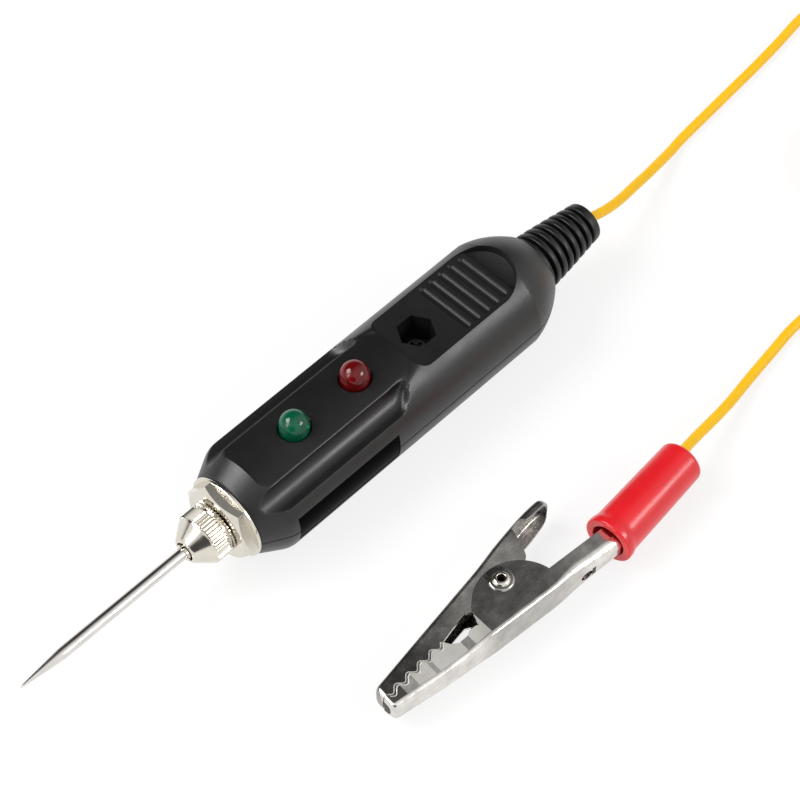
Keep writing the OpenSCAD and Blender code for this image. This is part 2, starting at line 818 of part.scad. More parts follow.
// The wound length of the lead, as one ring with rounded edges
module lead_coil() {
    edge = 1.2;
    a = coil_in_r;
    b = coil_in_r + coil_w;
    color("#f3bd18")
    on_lead()
    translate([coil_at[0], coil_at[1], 0])
        rotate_extrude()
            polygon([[a + edge, 0], [b - edge, 0], [b, edge], [b, coil_h - edge], [b - edge, coil_h],
                     [a + edge, coil_h], [a, coil_h - edge], [a, edge]]);
}

// Depths in the sleeve at which the crimp barrel ends and the lead's bared wire begins
crimp_end = 9;
strip_end = 6;
// Where the lead leaves the sleeve, from the end of the strain relief
sleeve_turn = clip_turn + sleeve_angle;
clip_rel = [clip_at[0] - relief_x, clip_at[1], clip_at[2]];
mouth_at = clip_rel + [cos(clip_turn) * sleeve_reach - sin(clip_turn) * sleeve_y,
                       sin(clip_turn) * sleeve_reach + cos(clip_turn) * sleeve_y, 0];
function in_sleeve(d, off, rise) = mouth_at + [cos(sleeve_turn) * d - sin(sleeve_turn) * off,
                                               sin(sleeve_turn) * d + cos(sleeve_turn) * off, rise];

module lead_to_clip() {
    color("#f3bd18")
    on_lead()
        tube(lifted(smooth(concat(route_b, [in_sleeve(sleeve_l, exit_off, exit_rise),
            in_sleeve(sleeve_l - 3, exit_off * 0.8, exit_rise * 0.7),
            in_sleeve(crimp_end + 2, 0.2, 0.1), in_sleeve(crimp_end - 1, 0, 0),
            in_sleeve(strip_end, 0, 0)]), 2)), lead_r);
}

// The soft sleeve, with a lip at its mouth and a hole for the lead in its end
module clip_sleeve() {
    bore = sleeve_r - sleeve_wall;
    end_bore = sleeve_end_r - sleeve_wall;
    color("#e3202f")
    on_sleeve()
    difference() {
        turned([[0, 0], [0, sleeve_lip_r - 0.3], [0.35, sleeve_lip_r], [1.1, sleeve_lip_r],
                [2, sleeve_r], [sleeve_l - 1, sleeve_end_r], [sleeve_l - 0.3, sleeve_end_r - 0.35],
                [sleeve_l, sleeve_end_r - 1], [sleeve_l, 0]]);
        turned([[-1, 0], [-1, bore], [2, bore], [sleeve_l - sleeve_wall, end_bore],
                [sleeve_l - sleeve_wall, 0]]);
        translate([0, exit_off, exit_rise])
            rod(sleeve_l - 2, sleeve_l + 1, lead_r + 0.2);
    }
}

// Width of the upper jaw's front tooth
front_tooth_w = 1.3;
// Height of the closed tooth line at x, for the upper jaw
function tooth_line(x) = -1.85 + 0.072 * (x + 15) + tooth_h / 2 * cos(360 * (x + 16.4) / tooth_pitch);
tooth_steps = [for (x = [-tooth_start : -tooth_pitch / 6 : nose_x]) x];

// Height of the upper jaw's spine and lever, and of the lower jaw's base, at x
lever_x = 8.5;
base_pivot_x = 4;
function spine_y(x) = spine_rise + spine_slope * min(x, lever_x) + tan(lever_angle) * max(x - lever_x, 0);
function base_y(x) = (x < rise_x ? tan(base_rise_angle) * (rise_x - x) : 0)
    + tan(base_angle) * (base_pivot_x - max(x, rise_x)) - base_drop;

// Half the outer width of each jaw at x
lower_half = [[nose_x, clip_nose_w / 2], [-7, half_w], [tail_x, half_w], [16, tail_w / 2 + 0.4], [21, tail_w / 2]];
lever_tip_r = upper_half - 0.25;
lever_tip_x = lever_reach - lever_tip_r;
upper_half_w = [[nose_x, clip_nose_w / 2 - 0.15], [-7, upper_half], [lever_x, upper_half],
                [lever_tip_x, lever_tip_r]];

// Plan of the lower jaw, drawn in by d
module lower_plan(d) {
    top = [[nose_x + d, lookup(nose_x, lower_half) - d], [-7, half_w - d], [tail_x, half_w - d],
           [16, lookup(16, lower_half) - d], [21 + (d > 0 ? 1 : 0), tail_w / 2 - d]];
    polygon(concat(top, [for (i = [4 : -1 : 0]) [top[i][0], -top[i][1]]]));
}

// Plan of the upper jaw, drawn in by d, with a round thumb lever
module upper_plan(d) {
    top = [[nose_x + d, lookup(nose_x, upper_half_w) - d], [-7, upper_half - d], [lever_x, upper_half - d],
           [lever_tip_x, lever_tip_r - d]];
    polygon(concat(top, [for (i = [3 : -1 : 0]) [top[i][0], -top[i][1]]]));
    translate([lever_tip_x, 0])
        circle(r = lever_tip_r - d);
}

// What lies outside the rounded folds along a row of stations, on both sides of a jaw whose
// hollow lies towards inward, with the sheet's faces drawn in by d. Two flats stand for each
// round, and the tail channel is nearly half round.
module outside_folds(stations, inward, d) {
    for (i = [0 : len(stations) - 2], side = [-1, 1], t = [30, 60]) {
        from = stations[i];
        way = stations[i + 1] - from;
        r = from[0] < tail_x || inward < 0 ? fold_r : tail_fold_r;
        translate([from[0], from[1] + inward * r, side * (from[2] - r)])
            rotate([0, -asin(side * way[2] / norm(way)), atan2(way[1], way[0])])
                rotate([inward * (side > 0 ? t : 180 - t), 0, 0])
                    translate([-40, -6, r - d])
                        cube([100, 12, 8]);
    }
}
lower_folds = [for (x = [nose_x, rise_x, -7, tail_x, 16, 21]) [x, base_y(x), lookup(x, lower_half)]];
upper_folds = [for (x = [nose_x, -7, lever_x, lever_tip_x])
    [x, spine_y(x), lookup(x, upper_half_w)]];

// Turns a plan drawn in X and Z into a prism along Y
module prism_y() {
    translate([0, 15, 0])
        rotate([90, 0, 0])
            linear_extrude(30)
                children();
}

// Side outline of the lower jaw with the part d above its base left out
module lower_side(d) {
    ear_rear = ear_at[0] + sqrt(pow(ear_r, 2) - pow(tail_top - ear_at[1], 2));
    polygon(concat(
        [[nose_x - 1, base_y(nose_x - 1) + d], [rise_x, base_y(rise_x) + d], [22, base_y(22) + d],
         [22, tail_top - 1.4], [19.8, tail_top], [ear_rear, tail_top]],
        [[-8.2, tail_top - 0.2], [-8.5, -3.2], [-9.7, -3.1], [-10.6, -3.56], [-12.3, -3.55], [-13.4, -2.9]],
        [for (x = tooth_steps) [x, tooth_line(x) - tooth_gap]],
        [[nose_x - 1, tooth_line(tooth_steps[len(tooth_steps) - 1]) - tooth_gap]]));
}

// Everything above the inner face of the lower jaw's base
module lower_inside() {
    polygon([[nose_x - 1, base_y(nose_x - 1) + sheet], [rise_x, base_y(rise_x) + sheet],
             [23, base_y(23) + sheet], [23, 10], [nose_x - 1, 10]]);
}

// The part of the ears that stands above the tail channel
module ear_side() {
    intersection() {
        translate(ear_at)
            circle(r = ear_r, $fn = 96);
        translate([-10, tail_top - 1])
            square([20, 10]);
    }
}

module clip_lower_jaw() {
    notch_y = tooth_line(nose_x) - tooth_gap;
    color("#bcbab4")
    on_clip()
    difference() {
        union() {
            difference() {
                intersection() {
                    translate([0, 0, -half_w])
                        linear_extrude(clip_w) {
                            lower_side(0);
                            ear_side();
                        }
                    prism_y()
                        lower_plan(0);
                }
                outside_folds(lower_folds, 1, 0);
                difference() {
                    intersection() {
                        translate([0, 0, -half_w])
                            linear_extrude(clip_w)
                                lower_inside();
                        prism_y()
                            lower_plan(sheet);
                    }
                    outside_folds(lower_folds, 1, sheet);
                }
            }
            // Raised rings that the rivet's lips sit on
            for (side = [-1, 1])
                translate([0, 0, side * (half_w + boss_h / 2 - eps)])
                    cylinder(h = boss_h, r = boss_r, center = true);
            crimp_barrel();
        }
        cylinder(h = 2 * clip_w, r = rivet_r + 0.03, center = true);
        // Slot in the base of the tail channel
        translate([12, -base_drop, 0])
            cube([2.2, 2, 1.2], center = true);
        // Notch for the upper jaw's front tooth
        translate([nose_x - 1, notch_y - 1, -front_tooth_w / 2 - tooth_gap])
            cube([1 + 2 * sheet, 3, front_tooth_w + 2 * tooth_gap]);
    }
}

// The half-open barrel that is crimped round the lead inside the sleeve
module crimp_barrel() {
    translate([sleeve_reach, sleeve_y, 0])
        rotate([0, 0, sleeve_angle])
            difference() {
                union() {
                    rod(2.5, crimp_end, lead_r + 0.75);
                    translate([0.3, -2.6, -1.3])
                        cube([5, 1.3, 2.6]);
                }
                rod(0, crimp_end + 1, lead_r + 0.12);
                translate([0, 0.2, -0.5])
                    cube([crimp_end + 1, 3, 1]);
            }
}

// Side outline of the upper jaw: spine on top, tooth line below, round at the rivet
module upper_side() {
    polygon(concat(
        [[nose_x, tooth_line(nose_x)], [nose_x, spine_y(nose_x)], [lever_x, spine_y(lever_x)],
         [lever_reach + 1, spine_y(lever_reach + 1)], [lever_reach + 1, spine_y(lever_reach + 1) - 0.8],
         [lever_reach - 0.2, spine_y(lever_reach) - lever_rim], [lever_reach - 2.8, spine_y(13.6) - 2.1],
         [lever_reach - 4.9, spine_y(11.5) - 2.5], [9.4, spine_y(9.4) - lever_root],
         [8.2, spine_y(8.2) - lever_root], [7.4, 3.2], [7, 2.1], [6.4, 0.95], [4.1, 0]],
        [for (a = [0 : -15 : -130]) [4.1 * cos(a), 4.1 * sin(a)]],
        [[-8, -0.3], [-11, -0.85], [-13.6, -1.5]],
        [for (x = tooth_steps) [x, tooth_line(x)]]));
}

// What is left out of the lever's upper side wall, which ends close to the fold behind the ear
module lever_notch() {
    polygon([[7, 2.1], [7.4, 3.56], [8.1, spine_y(8.1) - 0.65], [9, spine_y(9) - 0.7],
             [10.4, spine_y(10.4) - 0.9], [lever_reach - 2, spine_y(lever_reach - 2) - lever_rim - 0.2],
             [lever_reach, spine_y(lever_reach) - lever_rim], [lever_reach + 2, spine_y(lever_reach)],
             [lever_reach + 2, 0], [7, 0]]);
}

// Everything below the inner face of the spine and the lever
module upper_inside() {
    drop = sheet / cos(spine_angle);
    polygon([[nose_x - 1, spine_y(nose_x - 1) - drop], [lever_x, spine_y(lever_x) - drop],
             [lever_reach + 2, spine_y(lever_reach + 2) - drop], [lever_reach + 2, -10],
             [nose_x - 1, -10]]);
}

module clip_upper_jaw() {
    front_y = tooth_line(nose_x);
    color("#c4c2bc")
    on_clip()
    difference() {
        union() {
            difference() {
                intersection() {
                    translate([0, 0, -half_w])
                        linear_extrude(clip_w)
                            upper_side();
                    prism_y()
                        upper_plan(0);
                }
                outside_folds(upper_folds, -1, 0);
                difference() {
                    intersection() {
                        translate([0, 0, -half_w])
                            linear_extrude(clip_w)
                                upper_inside();
                        prism_y()
                            upper_plan(sheet);
                    }
                    outside_folds(upper_folds, -1, sheet);
                }
            }
            // Front tooth that bites into the lower jaw's notch
            translate([nose_x, front_y - 0.7, -front_tooth_w / 2])
                cube([sheet, 1, front_tooth_w]);
        }
        cylinder(h = 2 * clip_w, r = rivet_r + fit, center = true);
        translate([0, 0, 0.3])
            linear_extrude(clip_w)
                lever_notch();
    }
}

// Hollow rivet with a rolled lip outside each ear
module clip_rivet() {
    seat = half_w + boss_h;
    color("#d0cec8")
    on_clip()
    difference() {
        union() {
            cylinder(h = 2 * seat + 0.1, r = rivet_r, center = true);
            for (side = [-1, 1])
                translate([0, 0, side * seat])
                    mirror([0, 0, side < 0 ? 1 : 0]) {
                        cylinder(h = rivet_lip_h * 0.5, r = rivet_lip_r);
                        translate([0, 0, rivet_lip_h * 0.5 - eps])
                            cylinder(h = rivet_lip_h * 0.5, r1 = rivet_lip_r, r2 = rivet_lip_r * 0.72);
                    }
        }
        cylinder(h = 3 * seat, r = rivet_hole_r, center = true);
    }
}

// One turn of the spring at the height z
module spring_turn(z) {
    translate([0, 0, z])
        rotate_extrude()
            translate([spring_coil_r, 0])
                circle(r = spring_wire_r, $fn = 16);
}

// A straight piece of spring wire between two points at the height z
module spring_leg(a, b, z) {
    way = b - a;
    translate([a[0], a[1], z])
        rotate([0, 0, atan2(way[1], way[0])])
            rod(0, norm(way), spring_wire_r);
}

// Coil round the rivet, with the leg that presses on the lower jaw's tail
module clip_spring() {
    pitch = 1.9 * spring_wire_r;
    rest_y = base_y(8.5) + sheet + spring_wire_r + 0.02;
    color("#9c9a94")
    on_clip() {
        for (i = [0 : 3])
            spring_turn(pitch * (i - 2));
        spring_leg([-0.5, -spring_coil_r], [8.5, rest_y], -2 * pitch);
    }
}

// The spring's other end turn and leg, which press on the upper jaw's spine and swing with it
module clip_spring_arm() {
    pitch = 1.9 * spring_wire_r;
    z = pitch * 1 + 2 * spring_wire_r + 0.12;
    end_x = 6.4;
    end_y = spine_y(end_x) - (sheet + spring_wire_r + 0.02) / cos(spine_angle);
    color("#9c9a94")
    on_clip() {
        spring_turn(z);
        spring_leg([-0.5, spring_coil_r], [end_x, end_y], z);
    }
}

// Bared and soldered end of the lead in the tail channel
module clip_wire_end() {
    color("#b8743a")
    on_clip()
    translate([sleeve_reach, sleeve_y, 0])
        rotate([0, 0, sleeve_angle])
            rod(-2.5, strip_end, 0.55);
}

upper_shell();
lower_shell();
side_plate();
green_lamp();
red_lamp();
circuit_board();
green_resistor();
red_resistor();
contact_strip();
inner_lead();
chuck_body();
washer();
hex_nut();
chuck_nut();
probe_needle();
housing_screw();
strain_relief();
lead_to_coil();
lead_coil();
lead_to_clip();
clip_sleeve();
clip_lower_jaw();
clip_upper_jaw();
clip_rivet();
clip_spring();
clip_spring_arm();
clip_wire_end();
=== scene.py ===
"""An automotive circuit tester: a needle probe with two indicator lamps, and an alligator clip on a lead.

The shapes are drawn in millimetres in the frame of the piece they belong to, and are put in
place in metres at the end. The tester's own frame has its X axis along the housing, from the
front face, and the clip's own frame has its origin at the rivet.
"""

from math import asin, atan, atan2, ceil, cos, hypot, pi, radians, sin, sqrt, tan
from types import SimpleNamespace

import bmesh
import bpy
import numpy as np
from mathutils.bvhtree import BVHTree
from mathutils import Matrix, Vector


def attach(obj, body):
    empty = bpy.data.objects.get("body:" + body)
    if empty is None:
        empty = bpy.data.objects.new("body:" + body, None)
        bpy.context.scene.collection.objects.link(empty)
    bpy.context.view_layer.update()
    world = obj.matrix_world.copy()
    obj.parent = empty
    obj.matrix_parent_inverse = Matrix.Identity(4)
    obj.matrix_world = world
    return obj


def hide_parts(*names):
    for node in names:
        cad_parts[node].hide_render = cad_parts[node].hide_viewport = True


bl_info = {
    "name": "Circuit Tester",
    "version": (1, 0, 0),
    "blender": (4, 5, 0),
    "location": "3D View > Sidebar > Tester",
    "description": "Builds a needle-probe circuit tester with its lead and clip",
    "category": "Add Mesh",
}

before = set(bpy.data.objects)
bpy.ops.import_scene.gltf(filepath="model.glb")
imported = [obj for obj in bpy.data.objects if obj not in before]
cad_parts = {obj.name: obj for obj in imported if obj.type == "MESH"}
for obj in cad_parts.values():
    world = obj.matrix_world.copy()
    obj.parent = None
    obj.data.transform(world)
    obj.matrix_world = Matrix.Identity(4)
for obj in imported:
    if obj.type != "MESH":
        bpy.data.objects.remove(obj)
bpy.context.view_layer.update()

MM = 0.001
TAU = 2 * pi
QUARTER = pi / 2
# Place of the housing's front face on its axis, and of the clip's rivet, in millimetres
AXIS_AT = Matrix.Translation((-20.4, 0, 9.2))
CLIP_AT = Matrix.Translation((1.6, -38.3, 4.4)) @ Matrix.Rotation(radians(-3), 4, "Z")
# End of the strain relief, on the surface the tester lies on
RELIEF_END = Vector((63.7, 0, 0))


def size(name, mm, text):
    return bpy.props.FloatProperty(
        name=name, description=text, default=mm * MM, min=0.0, unit="LENGTH", precision=5)


def turn(name, degrees, text):
    return bpy.props.FloatProperty(name=name, description=text, default=radians(degrees), subtype="ANGLE")


def count(name, number, text, least, most=1000):
    return bpy.props.IntProperty(name=name, description=text, default=number, min=least, max=most)


def shade(name, colour, text):
    return bpy.props.FloatVectorProperty(
        name=name, description=text, default=colour, size=3, min=0.0, max=1.0, subtype="COLOR")


class HousingSizes(bpy.types.PropertyGroup):
    length: size("Length", 69.7, "From the front face to the rear ring")
    radius: size("Radius", 10.25, "Radius of the round housing")
    nose_radius: size("Front radius", 7.6, "Radius of the front face behind the chuck")
    nose_length: size("Front cone", 4.8, "Length of the cone behind the front face")
    tail_radius: size("Rear radius", 6.3, "Radius of the ring round the strain relief")
    tail_length: size("Rear shoulder", 8, "Length of the rounded shoulder")
    wall: size("Wall", 1.6, "Thickness of the moulded shells")
    top_flat: size("Top flat height", 8.5, "Height of the flat with the lamps above the axis")
    base_flat: size("Base flat depth", 9.2, "Depth of the flat underside below the axis")
    flute_radius: size("Flute radius", 2.7, "Radius of the grip flutes")
    flute_offset: size("Flute offset", 11.2, "Distance of a flute's centre line from the axis")
    flute_length: size("Flute length", 30.6, "From the front face to a flute's round end")
    crown: size("Crown", 0.45, "How far the face with the lamps is crowned")
    softness: size("Edge softness", 0.17, "How far the moulded edges are rounded")
    panel_start: size("Panel start", 37.3, "From the front face to the thumb panel")
    panel_length: size("Panel length", 26, "Length of the thumb panel")
    panel_width: size("Panel width", 12.6, "Width of the thumb panel")
    panel_depth: size("Panel depth", 0.45, "Depth of the panel below the top flat")
    rib_start: size("First groove", 48.5, "From the front face to the first groove of the grip")
    rib_pitch: size("Rib pitch", 2.23, "Distance between the grip ribs")
    rib_width: size("Rib width", 0.8, "Width of a grip rib")
    rib_count: count("Ribs", 5, "Number of grip ribs", 3, 5)
    groove_depth: size("Groove depth", 0.48, "Depth of the grooves between the grip ribs")
    screw_at: size("Screw", 42.5, "From the front face to the housing screw")
    well_flats: size("Screw well", 5.8, "Size of the hexagonal well across its flats")


class LampSizes(bpy.types.PropertyGroup):
    radius: size("Radius", 2.5, "Radius of an indicator lamp")
    rise: size("Rise", 1.3, "Height of the dome's centre above the top flat")
    length: size("Straight part", 6.1, "Length of the lamp below its dome")
    green_at: size("Green lamp", 14.9, "From the front face to the green lamp")
    red_at: size("Red lamp", 28.4, "From the front face to the red lamp")


class ChuckSizes(bpy.types.PropertyGroup):
    washer_radius: size("Washer radius", 7.6, "Radius of the washer on the housing")
    washer_thickness: size("Washer thickness", 0.6, "Thickness of the washer")
    nut_flats: size("Hex nut", 13, "Size of the hex nut across its flats")
    nut_thickness: size("Hex nut thickness", 2, "Thickness of the hex nut")
    nut_turn: turn("Hex nut angle", 6.5, "How far the hex nut is turned")
    knurl_radius: size("Knurl radius", 4.6, "Outer radius of the knurled chuck nut")
    knurl_teeth: count("Knurl teeth", 44, "Teeth round the chuck nut", 20)
    needle_radius: size("Needle radius", 1, "Radius of the probe needle")
    needle_length: size("Needle length", 33.5, "Length of the needle in front of the collet")
    point_length: size("Needle point", 8.5, "Length of the ground point")


class LeadSizes(bpy.types.PropertyGroup):
    diameter: size("Lead diameter", 1.8, "Diameter of the lead")
    relief_length: size("Strain relief", 14.4, "Length of the strain relief behind the housing")
    relief_rings: count("Rings", 8, "Rings on the strain relief", 6)
    sleeve_length: size("Sleeve length", 20.3, "Length of the clip's sleeve")
    sleeve_radius: size("Sleeve radius", 4.1, "Radius of the sleeve behind its lip")
    turns: count("Turns", 11, "Turns of the stored lead", 11, 11)


class ClipSizes(bpy.types.PropertyGroup):
    sheet: size("Sheet", 0.5, "Thickness of the sheet steel")
    width: size("Width", 6.6, "Width of the clip at its rivet")
    nose_reach: size("Nose", 27.2, "From the rivet to the nose")
    lever_reach: size("Lever", 16.4, "From the rivet to the tip of the thumb lever")
    base_drop: size("Base drop", 6.9, "From the rivet down to the lower jaw's base")
    fold: size("Fold radius", 0.9, "Radius of the folds of the jaws")
    tail_fold: size("Tail fold radius", 1.8, "Radius of the folds of the tail channel")
    tooth_pitch: size("Tooth pitch", 2.6, "Distance between teeth")
    tooth_height: size("Tooth height", 0.95, "Height of the teeth")
    wire_radius: size("Spring wire", 0.3, "Radius of the spring wire")


class TesterColours(bpy.types.PropertyGroup):
    housing: shade("Housing", (0.0062, 0.0060, 0.0058), "Moulded black plastic")
    relief: shade("Strain relief", (0.0042, 0.0040, 0.0040), "Soft black plastic")
    plate: shade("Side plate", (0.0008, 0.0008, 0.0008), "Blank gloss plate")
    green: shade("Green lamp", (0.0, 0.115, 0.055), "Green resin")
    red: shade("Red lamp", (0.16, 0.0015, 0.003), "Red resin")
    nickel: shade("Nickel", (0.70, 0.66, 0.585), "Bright nickel plate")
    steel: shade("Needle", (0.70, 0.67, 0.64), "Ground steel")
    clip: shade("Clip", (0.66, 0.635, 0.60), "Nickel-plated pressed steel")
    lead: shade("Lead", (0.84, 0.475, 0.002), "Lead insulation")
    sleeve: shade("Sleeve", (0.66, 0.006, 0.012), "Glossy soft plastic")


class StageSettings(bpy.types.PropertyGroup):
    camera_at: bpy.props.FloatVectorProperty(
        name="Camera", description="Place of the camera", default=(-0.16175, -0.1756, 0.352),
        subtype="TRANSLATION", unit="LENGTH")
    azimuth: turn("Azimuth", 45.72, "Direction the camera looks in, from +Y towards +X")
    elevation: turn("Elevation", 54.31, "How steeply the camera looks down")
    lens: bpy.props.FloatProperty(name="Lens", description="Focal length", default=116.73, unit="CAMERA")
    floor_size: size("Floor", 3000, "Side of the plain floor")


GROUPS = {
    "tester_housing": HousingSizes,
    "tester_lamps": LampSizes,
    "tester_chuck": ChuckSizes,
    "tester_lead": LeadSizes,
    "tester_clip": ClipSizes,
    "tester_colours": TesterColours,
    "tester_stage": StageSettings,
}


def sizes(name):
    """The sizes of a property group, with lengths in millimetres and angles in radians."""
    group = getattr(bpy.context.scene, "tester_" + name)
    values = {}
    for prop in group.bl_rna.properties:
        if prop.identifier not in {"rna_type", "name"}:
            value = getattr(group, prop.identifier)
            values[prop.identifier] = value / MM if prop.type == "FLOAT" and prop.unit == "LENGTH" else value
    return SimpleNamespace(**values)


def turned(angle, axis):
    return Matrix.Rotation(angle, 4, axis)


def shifted(*spot):
    return Matrix.Translation(spot)


def moved(bm, matrix):
    bmesh.ops.transform(bm, matrix=matrix, verts=bm.verts)
    return bm


def rounded(points, radii, steps=4):
    """A row of points with the corners named in radii, {index: radius}, rounded."""
    made = []
    for i, p in enumerate(points):
        p = Vector(p)
        if i not in radii:
            made.append(tuple(p))
            continue
        a, b = Vector(points[i - 1]), Vector(points[(i + 1) % len(points)])
        start = p + (a - p).normalized() * min(radii[i], (a - p).length * 0.49)
        end = p + (b - p).normalized() * min(radii[i], (b - p).length * 0.49)
        for k in range(steps + 1):
            t = k / steps
            made.append(tuple(start * (1 - t) ** 2 + p * 2 * t * (1 - t) + end * t * t))
    return made


def spun(profile, steps=64, closed=False, angle=TAU):
    """A surface of revolution about the X axis, from a profile of (station, radius) points."""
    bm = bmesh.new()
    verts = [bm.verts.new((x, 0, r)) for x, r in profile]
    edges = [bm.edges.new(pair) for pair in zip(verts, verts[1:])]
    if closed:
        edges.append(bm.edges.new((verts[-1], verts[0])))
    bmesh.ops.spin(bm, geom=verts + edges, cent=(0, 0, 0), axis=(1, 0, 0), angle=angle, steps=steps,
                   use_merge=angle == TAU)
    bmesh.ops.remove_doubles(bm, verts=bm.verts, dist=1e-4)
    bmesh.ops.recalc_face_normals(bm, faces=bm.faces)
    return bm


def prism(outline, low, high, axis="Z"):
    """A closed prism with a flat outline, from low to high along Z or along Y."""
    bm = bmesh.new()
    spots = [(x, y, low) if axis == "Z" else (x, low, y) for x, y in outline]
    face = bm.faces.new([bm.verts.new(p) for p in spots])
    end = bmesh.ops.extrude_face_region(bm, geom=[face])["geom"]
    way = (0, 0, high - low) if axis == "Z" else (0, high - low, 0)
    bmesh.ops.translate(bm, vec=way, verts=[v for v in end if isinstance(v, bmesh.types.BMVert)])
    bmesh.ops.recalc_face_normals(bm, faces=bm.faces)
    return bm


def drum(radius, low, high, x=0.0, segments=64, flare=0.0):
    """A closed round or six-sided bar along Z. A flare widens it above high, for a soft rim."""
    profile = [(low, 0), (low, radius), (high, radius)]
    if flare:
        profile += [(high + up * flare, radius + out * flare) for up, out in ((0.4, 0.25), (1, 1), (3, 4))]
    return moved(spun(profile + [(profile[-1][0], 0)], segments), shifted(x, 0, 0) @ turned(-QUARTER, "Y"))


def as_object(bm, name="part"):
    mesh = bpy.data.meshes.new(name)
    bm.to_mesh(mesh)
    bm.free()
    made = bpy.data.objects.new(name, mesh)
    bpy.context.scene.collection.objects.link(made)
    return made


def apply_modifiers(obj):
    depsgraph = bpy.context.evaluated_depsgraph_get()
    mesh = bpy.data.meshes.new_from_object(
        obj.evaluated_get(depsgraph), preserve_all_data_layers=True, depsgraph=depsgraph)
    old = obj.data
    obj.modifiers.clear()
    obj.data = mesh
    bpy.data.meshes.remove(old)


def combine(obj, operation, *tools):
    """Cuts, joins or trims obj with other solids, which are used up."""
    for tool in tools:
        other = as_object(tool, "tool") if isinstance(tool, bmesh.types.BMesh) else tool
        mod = obj.modifiers.new("combine", "BOOLEAN")
        mod.operation, mod.solver, mod.object = operation, "EXACT", other
        apply_modifiers(obj)
        mesh = other.data
        bpy.data.objects.remove(other)
        bpy.data.meshes.remove(mesh)


def cut(obj, *tools):
    combine(obj, "DIFFERENCE", *tools)


def clean(obj, near=0.002, fill=True):
    """Merges points that lie on each other, drops faces with no area and may fill the gaps they leave."""
    bm = bmesh.new()
    bm.from_mesh(obj.data)
    bmesh.ops.remove_doubles(bm, verts=bm.verts, dist=near)
    bmesh.ops.dissolve_degenerate(bm, dist=near, edges=bm.edges)
    if fill:
        bmesh.ops.holes_fill(bm, edges=[e for e in bm.edges if e.is_boundary], sides=4)
    bmesh.ops.recalc_face_normals(bm, faces=bm.faces)
    bm.to_mesh(obj.data)
    bm.free()


def soften(obj, width, segments, angle):
    """Rounds the edges of obj that are sharper than the angle in degrees."""
    mod = obj.modifiers.new("soften", "BEVEL")
    mod.width, mod.segments, mod.profile = width, segments, 0.5
    mod.limit_method, mod.angle_limit = "ANGLE", radians(angle)
    mod.use_clamp_overlap = True
    mod.miter_outer = "MITER_ARC"
    apply_modifiers(obj)


def joined(*parts):
    """One bmesh of several."""
    whole = bmesh.new()
    for part in parts:
        mesh = bpy.data.meshes.new("join")
        part.to_mesh(mesh)
        part.free()
        whole.from_mesh(mesh)
        bpy.data.meshes.remove(mesh)
    return whole


def tube(points, radius, sides=12):
    """A round rod that follows a row of points."""
    bm = bmesh.new()
    points = [Vector(p) for p in points]
    rings = []
    side = None
    for i, p in enumerate(points):
        way = (points[min(i + 1, len(points) - 1)] - points[max(i - 1, 0)]).normalized()
        side = way.orthogonal() if side is None else side - way * side.dot(way)
        side.normalize()
        at = Matrix.Translation(p) @ Matrix((side, way.cross(side), way)).transposed().to_4x4()
        rings.append(bmesh.ops.create_circle(bm, segments=sides, radius=radius, matrix=at)["verts"])
    for a, b in zip(rings, rings[1:]):
        edges = [e for ring in (a, b)
                 for e in {e for v in ring for e in v.link_edges if e.other_vert(v) in ring}]
        bmesh.ops.bridge_loops(bm, edges=edges)
    for ring in (rings[0], rings[-1]):
        bm.faces.new(ring)
    bmesh.ops.recalc_face_normals(bm, faces=bm.faces)
    return bm


def finish_piece(obj, name, finish, nodes=(), body="tester", matrix=AXIS_AT, smooth=38, weigh=True):
    """Names, places and shades a finished piece, attaches it to its body and hides the parts it replaces."""
    if isinstance(obj, bmesh.types.BMesh):
        obj = as_object(obj)
    obj.name = obj.data.name = name
    clean(obj)
    obj.data.transform(Matrix.Scale(MM, 4) @ matrix)
    obj.data.update()
    obj.data.shade_smooth()
    obj.data.set_sharp_from_angle(angle=radians(smooth))
    if weigh:
        mod = obj.modifiers.new("weigh normals", "WEIGHTED_NORMAL")
        mod.mode, mod.weight, mod.keep_sharp = "FACE_AREA", 60, True
    obj.data.materials.clear()
    obj.data.materials.append(material(finish))
    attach(obj, body)
    if nodes:
        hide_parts(*nodes)


def curve_through(points, steps):
    """Points of a smooth curve through a row of points."""
    made = []
    for i in range(len(points) - 1):
        a, b, c, d = (Vector(points[min(max(k, 0), len(points) - 1)]) for k in (i - 1, i, i + 1, i + 2))
        for k in range(steps):
            t = k / steps
            bend = (2 * a - 5 * b + 4 * c - d) * t * t + (3 * b - a - 3 * c + d) * t ** 3
            made.append(0.5 * (2 * b + (c - a) * t + bend))
    made.append(Vector(points[-1]))
    return made


FLOAT, COLOUR, VECTOR = "NodeSocketFloat", "NodeSocketColor", "NodeSocketVector"
GREY = (0.5, 0.5, 0.5, 1)


def shader_group(name, inputs, outputs, build):
    """A shader node group, built once."""
    if name in bpy.data.node_groups:
        return bpy.data.node_groups[name]
    tree = bpy.data.node_groups.new(name, "ShaderNodeTree")
    for label, kind, value in inputs:
        tree.interface.new_socket(name=label, in_out="INPUT", socket_type=kind).default_value = value
    for label, kind in outputs:
        tree.interface.new_socket(name=label, in_out="OUTPUT", socket_type=kind)
    build(tree, tree.nodes.new("NodeGroupInput").outputs, tree.nodes.new("NodeGroupOutput").inputs)
    return tree


def add(tree, kind, links=None, **settings):
    """A shader node with its settings and inputs. As an input, a node stands for its first output."""
    node = tree.nodes.new("ShaderNode" + kind)
    for key, value in settings.items():
        setattr(node, key, value)
    for key, value in (links or {}).items():
        if isinstance(value, bpy.types.Node):
            value = value.outputs[0]
        if isinstance(value, bpy.types.NodeSocket):
            tree.links.new(value, node.inputs[key])
        else:
            node.inputs[key].default_value = value
    return node


def sum_of(tree, operation, *values, **settings):
    return add(tree, "Math", dict(enumerate(values)), operation=operation, **settings)


